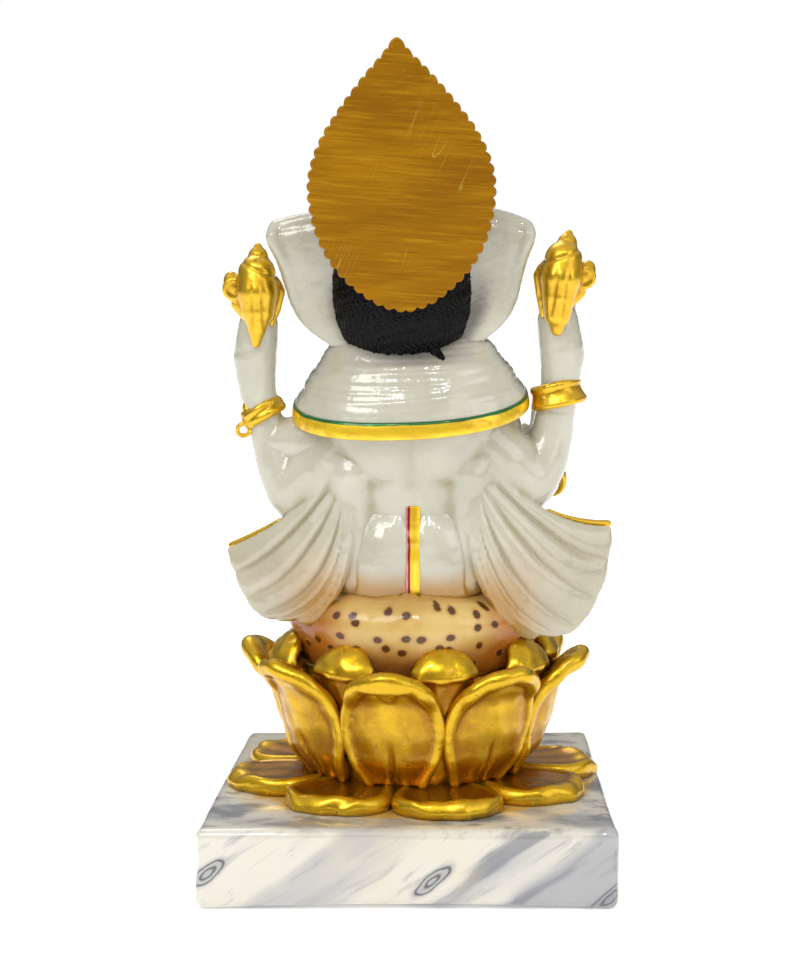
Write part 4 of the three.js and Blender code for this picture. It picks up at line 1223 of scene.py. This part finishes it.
blossomPieces = {
    "left": dict(side=1, lean=2, at=(54.6, 3.5, 106.5), inner=1.0, tip=1.7),
    "right": dict(side=-1, lean=8, at=(-53.4, 3.5, 111.5), inner=1.5, tip=2.4),
}


def makeBlossoms():
    for name, s in blossomPieces.items():
        side = s["side"]
        bm = bmesh.new()
        limb(bm, [(0, 3.0, 7.5, 6.8), (0, 4.4, 1.0, 7.6), (0, 5.6, -5.5, 6.0),
                  (side * 0.6, 6.2, -12, s["tip"] * 2), (side * 1.2, 6.0, -17.2, s["tip"])])
        limb(bm, [(-0.4, 1.6, 8.5, 5.2), (-0.6, 1.0, 13.4, 3.6), (-0.7, 0.5, 16.8, 1.5)])
        ball(bm, (-0.2, 2.6, 6.6), (6.2, 5.8, 2.2), (0, side * 18, 0))
        for apart in (4.2, -4.2):
            limb(bm, [(apart, 1.5, 10.5, 1.5), (apart * 1.25, 2.7, 4, 2.5), (apart, 3.3, -3, 2.4),
                      (apart * 0.45, 4.5, -9, 1.6)], 16)
        ball(bm, (side * 8.6, 0.4, 2.6), (3.6, 3.2, 6.0), (0, side * 14, 0))
        ringOf(bm, (side * 8.4, 2.6, 2.2), 3.3, 1.1, (90, 0, 0), 28, 10)
        limb(bm, [(side * 8.0, 1.0, -3.5, 2.0), (side * 4.6, 1.5, -8.5, 1.5)], 14)
        limb(bm, [(-side * 6.8, 0.8, 5.0, 1.4), (-side * 8.2, 1.2, 0.5, 1.7), (-side * 6.6, 1.6, -6, 1.4),
                  (-side * 4.4, 2.4, -11 * s["inner"] ** 0.5, 1.0)], 14)
        ball(bm, (0, -4.5, 2), (6.5, 4.5, 8))

        def carve(points, normals):
            x, y, z = points.T
            back = smooth(y, 4.0, 8.0)
            ribs = -0.7 * (bump(x, 2.0, 0.8) + bump(x, -2.1, 0.8)) * back
            ribs *= smooth(-z, -7, 2) * smooth(z, -15, -6)
            ribs -= 0.4 * bump(z - 0.5 * side * x, 9.5, 0.8)
            return points + normals * ribs[:, None]

        matrix = Matrix.Translation(s["at"]) @ Matrix.Rotation(math.radians(s["lean"]) * side, 4, "Y")
        cast(
            f"{name}_blossom_cast", bm, figureAt, trimGilt, [f"{name}_blossom"], voxel=0.5,
            rounds=8, carve=carve, hollows=(10, 0.9), matrix=matrix,
        )


legPieces = {
    "left": dict(foot=(-6, -39, 5.6), toward=-1, chain=[
        (15, -5, 13.5, 13), (31, -16, 13, 12.5), (41.5, -25, 10.4, 10.2), (28, -33, 9.6, 8.8),
        (12, -38, 8.4, 7.0), (2, -39, 7.0, 5.4),
    ]),
    "right": dict(foot=(7, -52.5, 7), toward=1, chain=[
        (-15, -5, 13.5, 13), (-31, -16, 13, 12.5), (-44, -25, 11, 10.6), (-30, -38, 10.2, 8.8),
        (-12, -47, 9.2, 7.2), (-1, -50, 8, 5.6),
    ]),
}


def makeLegs():
    for name, s in legPieces.items():
        bm = bmesh.new()
        limb(bm, s["chain"])
        x, y, z = s["foot"]
        way = s["toward"]
        ball(bm, (x, y, z), (9.0, 5.6, 4.4), (0, 0, -8 * way))
        for i in range(5):
            toe = (x + way * (9.6 - 0.7 * i), y - 4.2 + 2.1 * i, z + 0.2)
            ball(bm, toe, (2.2 - 0.16 * i, 1.35, 1.6), steps=14)

        def carve(points, normals):
            x, y, z = points.T
            cloth = 1 - smooth(x * way, -6, 2)
            shin = smooth(-y, 24, 32) * cloth
            folds = 0.5 * np.sin(0.75 * np.abs(x) + 0.5 * z + 0.3 * y) * (1 - 0.5 * shin) * cloth
            return points + normals * folds[:, None]

        cast(
            f"{name}_leg_cast", bm, figureAt, whiteMarble, [f"{name}_leg"], voxel=0.8,
            rounds=6, carve=carve,
        )


headPiece = dict(centre=(0, -3, 111.5), tilt=2, pivot=86.5)
headTurn = (
    Matrix.Translation((0, 0, headPiece["pivot"]))
    @ Matrix.Rotation(math.radians(headPiece["tilt"]), 4, "Y")
    @ Matrix.Translation((0, 0, -headPiece["pivot"]))
)
trunkChain = [
    (0, -18, 112, 11.5), (0.5, -27, 105, 10.4), (1, -33, 98, 9.4), (2, -37.5, 90, 8.6),
    (3.5, -40.5, 81, 7.8), (5, -43, 72, 7.0), (8, -45.5, 65, 6.2), (13, -47.6, 60, 5.3),
    (18.5, -49.6, 58, 4.6), (22.5, -50.6, 59.5, 3.9),
]


def makeHead():
    bm = bmesh.new()
    ball(bm, headPiece["centre"], (22.5, 19.5, 24.5))
    for side in (-1, 1):
        ball(bm, (side * 8.5, -12, 122), (11.5, 11.5, 11))
        ball(bm, (side * 12.5, -14, 104), (8.5, 9, 10))
        ball(bm, (side * 11.5, -19.5, 98), (5.6, 6.5, 5.6))
    ball(bm, (0, -19, 109), (12.5, 10, 14))
    ball(bm, (0, -14, 92), (9.5, 9, 6))
    limb(bm, [(0, 0, 96, 16), (0, 0, 84, 15)])

    def carve(points, normals):
        x, y, z = points.T
        front = smooth(-y, 10, 20)
        move = np.zeros(len(points))
        for side in (-1, 1):
            move -= 1.9 * np.exp(-(((x - side * 12.6) / 4.6) ** 2) - (((z - 112.5) / 3.0) ** 2)) * front
            brow = bump(z, 117.2 - 0.05 * (x - side * 12.5) ** 2, 1.2) * bump(x, side * 12.6, 5)
            move += 0.9 * brow * front
        move -= 0.8 * bump(x, 0, 2.4) * smooth(z, 116, 124) * front
        return points + normals * move[:, None]

    cast(
        "head_cast", bm, figureAt, whiteMarble, ["head"], voxel=0.9, rounds=8, carve=carve,
        matrix=headTurn,
    )
    for name, side in (("left", 1), ("right", -1)):
        bm = bmesh.new()
        ball(bm, (side * 12.4, -20.2, 112.4), (3.7, 2.4, 2.2), (0, side * 10, -side * 18), 40)
        mesh = meshFrom(bm)
        markPlain(mesh)
        finish(f"{name}_eye", mesh, figureAt, eyePaint, [], headTurn)
        bm = bmesh.new()
        ball(bm, (side * 12.2, -21.75, 112.3), (1.7, 1.1, 1.75), (0, 0, -side * 18), 28)
        mesh = meshFrom(bm)
        markPlain(mesh)
        finish(f"{name}_pupil", mesh, figureAt, blackHair, [], headTurn)
        bm = bmesh.new()
        limb(bm, [(side * 8.2, -24.4, 115.2, 0.45), (side * 11, -24.0, 116.9, 0.75),
                  (side * 14.2, -22.4, 116.9, 0.7), (side * 17.2, -19.6, 115.0, 0.35)], 10)
        cast(
            f"{name}_brow", bm, figureAt, blackHair, [], voxel=0.3, rounds=2,
            hollows=(2, 0.5), matrix=headTurn,
        )
    bm = bmesh.new()
    limb(bm, [(0, -26.6, 121.0, 0.7), (0, -27.9, 117.0, 1.15), (0, -28.4, 113.6, 0.6)], 14)
    cast(
        "forehead_mark", bm, figureAt, redPaint, [], voxel=0.3, rounds=2, hollows=(2, 0.5),
        matrix=headTurn,
    )

    bm = bmesh.new()
    limb(bm, trunkChain)
    ball(bm, (24.2, -50.8, 61.2), (2.6, 2.6, 2.0))

    def rings(points, normals):
        x, y, z = points.T
        way = np.where(z > 66, z, 66 - (x - 6) * 0.9)
        move = 0.42 * np.sin(way * 1.75) * smooth(-y, 26, 36)
        return points + normals * move[:, None]

    cast(
        "trunk_cast", bm, figureAt, whiteMarble, ["trunk"], voxel=0.75, rounds=5,
        carve=rings, matrix=headTurn,
    )
    for name, chain in (
        ("left", [(9.5, -26, 97.5, 3.0), (11.2, -33, 95.2, 2.7), (12.2, -37, 94.6, 2.4)]),
        (
            "right",
            [
                (-8.8, -26, 97.5, 3.0), (-10.6, -34, 94.8, 2.6), (-11.8, -40, 93.8, 1.7),
                (-12.2, -43, 94.2, 0.8),
            ],
        ),
    ):
        bm = bmesh.new()
        limb(bm, chain, 20)
        cast(
            f"{name}_tusk_cast", bm, figureAt, ivoryPaint, [f"{name}_tusk"], voxel=0.5,
            rounds=3, hollows=(4, 0.6), matrix=headTurn,
        )


earPiece = dict(
    outer=[
        (48.0, 5, 132.6), (50.4, 6, 128.5), (47.0, 5.5, 120), (44.6, 4.5, 111), (42.2, 4.5, 102.5),
        (37.0, 6.5, 95), (28.5, 9, 89),
    ],
    innerTop=(17, 6.5, 137.5), innerLow=(15, 8, 86), wall=5.4, rightShare=0.915,
)


def makeEars(s):
    for name, side in (("left", 1), ("right", -1)):
        def shape(u, v):
            outer = Vector(curveAt(s["outer"], v))
            inner = Vector(s["innerTop"]).lerp(Vector(s["innerLow"]), v)
            point = inner.lerp(outer, u)
            point.z += (1.6 * math.sin(math.pi * u) - (1.0 if side > 0 else 4.4) * u * u) * (1 - v)
            roll = max(0.0, 1 - v / 0.17)
            point.y -= 5.2 * roll ** 1.6
            point.y += 1.5 * math.sin(math.pi * u) * math.sin(math.pi * v) - 1.4 * u * u
            point.y += 0.5 * math.sin(7 * u + 4 * v) * math.sin(math.pi * v)
            point.x *= side if side > 0 else -s["rightShare"]
            return point

        # the sheet's outside is the back of the ear
        bm = bmesh.new()
        sheet = sheetMesh(lambda u, v: shape(1 - u if side > 0 else u, 1 - v), 34, 40, s["wall"], levels=0)
        bm.from_mesh(sheet)
        # the thick rolled edge
        roll = [(u, 0.065, 2.6 + 0.5 * u) for u in np.linspace(0.1, 0.92, 12)]
        roll += [(0.92, v, lerp(3.0, 1.9, v / 0.6)) for v in np.linspace(0.1, 0.6, 10)]
        limb(bm, [(*(shape(u, v) - Vector((0, 1.2, 0))), radius) for u, v, radius in roll], 14)

        def paint(points, normals, hollow):
            x, y, z = points.T
            away = np.hypot(np.abs(x) / 27.0, (z - 108) / 25.5)
            soot = (1 - smooth(away, 0.95, 1.16)) * smooth(y, 4, 7) * (1 - 0.75 * smooth(z, 100, 116))
            inside = smooth(-normals[:, 1], 0.4, 0.9) * smooth(away, 1.1, 1.3) * (1 - smooth(away, 1.5, 1.75))
            return dict(soot=0.6 * soot, airbrushAndShade=0.18 * inside)

        cast(
            f"{name}_ear_cast", bm, figureAt, whiteMarble, [f"{name}_ear"], voxel=0.85,
            rounds=6, paint=paint, hollows=(12, 1.0), matrix=headTurn,
        )


hairPiece = dict(
    centre=(2.4, 3.5), share=0.84, strands=84, relief=0.42,
    profile=[
        (0, 84.2), (11, 84.8), (17.5, 87.0), (21.8, 91.5), (24.2, 98.5), (25.0, 106), (24.8, 114),
        (22.8, 122), (17, 128), (0, 131),
    ],
)


def makeHair(s):
    bm = bmesh.new()
    spun(bm, s["profile"], s["share"], 96, (*s["centre"], 0))
    bmesh.ops.bisect_plane(
        bm, geom=bm.verts[:] + bm.edges[:] + bm.faces[:], dist=1e-4, plane_co=(0, 4, 0),
        plane_no=(0, -1, 0), clear_outer=True,
    )
    bmesh.ops.holes_fill(bm, edges=[e for e in bm.edges if e.is_boundary], sides=0)
    limb(bm, [(-8.5, 16.5, 87.5, 1.8), (-10.5, 18.0, 84.8, 1.2)], 12)  # the flick at the nape

    def carve(points, normals):
        x, y, z = points.T
        angle = np.arctan2(x - s["centre"][0], y + 6)
        wander = 0.10 * np.sin(0.55 * z + 3 * angle) + 0.05 * np.sin(1.3 * z + 9 * angle)
        strand = np.abs(np.sin(0.5 * s["strands"] * (angle + wander))) ** 0.7
        fine = 0.35 * np.sin(2.3 * s["strands"] * (angle + 0.6 * wander) + 0.4 * z)
        hem = 0.5 * np.sin(31 * angle) * (1 - smooth(z, 85, 89))
        relief = s["relief"] * (1.6 * (strand - 0.5) + 0.5 * fine)
        return points + normals * (relief + hem)[:, None]

    cast(
        "hair_cast", bm, figureAt, blackHair, ["hair"], voxel=0.42, rounds=3, carve=carve,
        hollows=(6, 0.5), matrix=headTurn,
    )


crownPiece = dict(
    rim=124.5, share=0.86,
    # three tiers, each with its rolled band, and the knob
    profile=[
        (0, 0), (22.6, 0), (23.8, 1.2), (23.8, 3.4), (22.4, 4.4), (21.6, 6.5), (22.6, 7.6), (22.4, 9.2),
        (20.8, 10.2), (20.2, 16), (20.0, 21.5), (21.0, 22.8), (21.2, 24.4), (19.8, 25.6), (18.2, 28),
        (15.6, 33), (14.2, 36.4), (15.0, 37.6), (15.0, 39.2), (13.6, 40.4), (11.0, 45), (8.0, 49.6),
        (7.0, 51.4), (7.6, 52.6), (7.2, 54.0), (5.0, 55.4), (4.2, 58.0), (3.6, 60.2), (1.8, 61.8),
        (0, 62.2),
    ],
)


def makeCrown(s):
    bm = bmesh.new()
    centre = Vector((0, headPiece["centre"][1], s["rim"]))
    spun(bm, s["profile"], s["share"], 128, centre)
    for height, radius, count, size in ((2.3, 24.2, 30, 1.5), (23.6, 21.2, 24, 1.5), (38.4, 15.0, 18, 1.3)):
        for i in range(count):
            turn = math.tau * i / count
            spot = Vector((radius * math.sin(turn), -radius * s["share"] * math.cos(turn), height))
            ball(bm, centre + spot, size, steps=12)
    for turn, tall, wide in ((0, 13.5, 7.5), (52, 10, 5.5), (-52, 10, 5.5)):
        a = math.radians(turn)
        spot = centre + Vector((20.6 * math.sin(a), -20.6 * s["share"] * math.cos(a), 14))
        ball(bm, spot, (wide, 2.4, tall), (0, 0, turn))
    # the lug that carries the plate
    limb(bm, [(0, 8, s["rim"] + 12, 4.2), (0, 20.6, s["rim"] + 12, 4.2)], 20)

    def carve(points, normals):
        x, y, z = points.T
        angle = np.arctan2(x, -(y - centre.y) / s["share"])
        height = z - s["rim"]
        flutes = 0.55 * np.abs(np.sin(10 * angle)) * smooth(height, 25, 28) * (1 - smooth(height, 54, 58))
        scales = 0.35 * np.sin(16 * angle + 3.1 * np.floor(height / 3.4))
        scales *= smooth(height, 10, 11.5) * (1 - smooth(height, 20, 22))
        return points + normals * (flutes + scales)[:, None]

    cast(
        "crown_cast", bm, figureAt, trimGilt, ["crown"], voxel=0.7, rounds=3, carve=carve,
        hollows=(8, 0.9), matrix=headTurn,
    )
    bm = bmesh.new()
    ball(bm, centre + Vector((0, -20.6 * s["share"] - 1.6, 14)), (3.4, 1.9, 4.8), steps=32)
    mesh = meshFrom(bm)
    markPlain(mesh)
    finish("crown_jewel", mesh, figureAt, redPaint, [], headTurn)


platePiece = dict(
    width=66, height=95.2, foot=102, shift=1.2, thickness=3.4, back=26.5, scallops=58, bite=1.15,
    rimWidth=3.4,
    # share of the height and of the half width, from the foot to the point
    leaf=[
        (0, 0), (0.022, 0.24), (0.07, 0.46), (0.14, 0.68), (0.23, 0.85), (0.34, 0.96), (0.46, 1.0),
        (0.56, 0.95), (0.66, 0.82), (0.76, 0.62), (0.86, 0.385), (0.94, 0.17), (1, 0),
    ],
)


def makePlate(s):
    half, middle = s["width"] / 2, s["height"] * 0.46
    side = [(share * half, rise * s["height"]) for rise, share in s["leaf"]]
    around = side + [(-x, z) for x, z in reversed(side[1:-1])] + [side[0]]
    fine = [curveAt(around, i / 1200) for i in range(1201)]
    lengths = np.concatenate([[0], np.cumsum([np.hypot(*(b - a)) for a, b in zip(fine, fine[1:])])])
    perScallop = 10
    steps = s["scallops"] * perScallop
    bm = bmesh.new()
    made = bmesh.ops.create_circle(bm, cap_ends=False, segments=steps, radius=1)["verts"]
    made.sort(key=lambda v: math.atan2(v.co.x, v.co.y) % math.tau)
    for i, vert in enumerate(made):
        at = lengths[-1] * i / steps
        k = min(int(np.searchsorted(lengths, at, "right")) - 1, 1199)
        x, z = lerp(fine[k], fine[k + 1], (at - lengths[k]) / max(lengths[k + 1] - lengths[k], 1e-9))
        wave = abs(math.sin(math.pi * i / perScallop))
        nearPoint = abs(i / steps - 0.5) < 0.011
        depth = 0 if nearPoint else s["bite"] * (1 - wave ** 0.8)
        way = Vector((x, z - middle)).normalized()
        vert.co = (x - way.x * depth, z - way.y * depth, 0)
    face = bmesh.ops.contextual_create(bm, geom=bm.edges[:])["faces"]
    bmesh.ops.inset_region(bm, faces=face, thickness=s["rimWidth"], use_even_offset=False)
    inner = [f for f in bm.faces if len(f.verts) > 8]
    bmesh.ops.triangulate(bm, faces=inner, quad_method="BEAUTY", ngon_method="BEAUTY")
    raised = bmesh.ops.extrude_face_region(bm, geom=bm.faces[:])
    top = [g for g in raised["geom"] if isinstance(g, bmesh.types.BMVert)]
    bmesh.ops.translate(bm, verts=top, vec=(0, 0, s["thickness"]))
    bmesh.ops.recalc_face_normals(bm, faces=bm.faces)
    level = [e for e in bm.edges if abs((e.verts[0].co - e.verts[1].co).z) < 0.01]
    sharp = [e for e in level if len(e.link_faces) == 2 and e.calc_face_angle(0) > 0.9]
    bmesh.ops.bevel(
        bm, geom=sharp, offset=0.55, offset_type="OFFSET", segments=3, profile=0.5, affect="EDGES",
        material=-1,
    )
    # stand it up: its face is the figure's back
    upright = Matrix.Rotation(-math.pi / 2, 4, "X") @ Matrix.Diagonal((1, -1, 1, 1))
    place = Matrix.Translation((s["shift"], s["back"] - s["thickness"], s["foot"])) @ upright
    bmesh.ops.transform(bm, matrix=place, verts=bm.verts)
    bmesh.ops.recalc_face_normals(bm, faces=bm.faces)
    mesh = meshFrom(bm)
    addValue(mesh, "hollow", np.full(len(mesh.vertices), 0.5))
    finish("halo_plate_cast", mesh, figureAt, plateGilt, ["halo_plate"], headTurn)


def makeSmallThings():
    bm = bmesh.new()
    chain = []
    for i in range(15):
        turn = math.radians(lerp(-62, 62, i / 14))
        across = math.sin(turn)
        chain.append((24 * across, -26.5 * math.cos(turn) - 2.0, 70 + 20.8 * across ** 2, 1.7))
    for *spot, _ in chain:
        ball(bm, spot, 2.0, steps=14)
    limb(bm, chain, 12)
    ball(bm, (0, -29.5, 66.2), (3.4, 2.0, 3.8))
    cast(
        "necklace_cast", bm, figureAt, trimGilt, ["necklace"], voxel=0.5, rounds=2,
        hollows=(5, 0.6),
    )
    bm = bmesh.new()
    ball(bm, (30.4, -50.4, 54.4), 6.0, steps=40)
    limb(bm, [(30.4, -50.4, 59.0, 2.6), (30.4, -50.4, 61.6, 0.8)], 20)

    def pleats(points, normals):
        x, y, z = points.T
        angle = np.arctan2(x - 30.4, y + 50.4)
        return points + normals * (0.35 * np.sin(14 * angle) * smooth(z, 51, 56))[:, None]

    cast(
        "sweet_cast", bm, figureAt, orangePaint, ["sweet"], voxel=0.4, rounds=3,
        carve=pleats, hollows=(6, 0.5),
    )


makePlinth(plinthPiece)
makeLotus()
makeSeat(seatPiece)
print("throne made")
makeBody(torsoPiece)
makeDhoti(dhotiPiece)
makeShawl(shawlPiece)
print("body and cloth made")
makeArms()
makeBracelets()
makeBlossoms()
makeLegs()
print("limbs made")
makeHead()
makeEars(earPiece)
makeHair(hairPiece)
makeCrown(crownPiece)
makePlate(platePiece)
makeSmallThings()
print("head made")


def makeStudio(s):
    bm = bmesh.new()
    bmesh.ops.create_circle(bm, cap_ends=True, segments=96, radius=4)
    floor = bpy.data.objects.new("floor", meshFrom(bm))
    bpy.context.scene.collection.objects.link(floor)
    look, tree, shader = newLook("floorPaper", Roughness=0.9, Specular_IOR_Level=0, Emission_Strength=0.25)
    paper = noisy(tree, placed(tree), 6, 2)
    shade = mixed(tree, paper, s["floor"], tuple(c * 0.985 for c in s["floor"]))
    tree.links.new(shade, shader.inputs["Base Color"])
    floor.data.materials.append(look)

    world = bpy.data.worlds.new("studio")
    bpy.context.scene.world = world
    world.use_nodes = True
    tree = world.node_tree
    background = tree.nodes["Background"]
    background.inputs["Color"].default_value = (1, 1, 1, 1)
    coordinates = tree.nodes.new("ShaderNodeTexCoord")
    split = tree.nodes.new("ShaderNodeSeparateXYZ")
    tree.links.new(coordinates.outputs["Generated"], split.inputs[0])
    glow = eased(tree, split.outputs["Z"], 0.0, 0.75, s["skyLow"], s["skyTop"])
    rays = tree.nodes.new("ShaderNodeLightPath").outputs
    wide = maths(tree, "MULTIPLY", rays["Is Diffuse Ray"], s["skyWide"])
    brightest = maths(tree, "MAXIMUM", maths(tree, "MAXIMUM", wide, rays["Is Camera Ray"]), glow)
    tree.links.new(brightest, background.inputs["Strength"])

    for name, place, size, power in (
        ("keyPanel", (0.55, 0.75, 0.95), (0.5, 0.5), 4.2),
        ("fillPanel", (-0.8, 0.6, 0.5), (0.6, 0.6), 1.6),
        ("topPanelA", (-0.20, 0.62, 0.86), (0.05, 0.09), 0.8),
        ("topPanelB", (0.14, 0.66, 0.9), (0.05, 0.09), 0.8),
        ("frontPanel", (0.3, -0.8, 1.2), (0.6, 0.6), 3),
    ):
        light = bpy.data.lights.new(name, "AREA")
        light.shape = "RECTANGLE"
        light.size, light.size_y = size
        light.energy = power
        lamp = bpy.data.objects.new(name, light)
        bpy.context.scene.collection.objects.link(lamp)
        lamp.location = place
        lamp.rotation_euler = (Vector(place) - Vector((0, 0, 0.15))).to_track_quat("Z", "Y").to_euler()

    target = Vector(s["target"])
    rise = math.radians(s["rise"])
    eye = target + s["distance"] * Vector((0, math.cos(rise), math.sin(rise)))
    lens = bpy.data.cameras.new("camera")
    lens.lens = s["lens"]
    lens.sensor_width = 36
    camera = bpy.data.objects.new("camera", lens)
    bpy.context.scene.collection.objects.link(camera)
    camera.location = eye
    camera.rotation_euler = (eye - target).to_track_quat("Z", "Y").to_euler()
    bpy.context.scene.camera = camera
    bpy.context.scene.view_settings.view_transform = "Standard"


makeStudio(studio)
print("studio made")
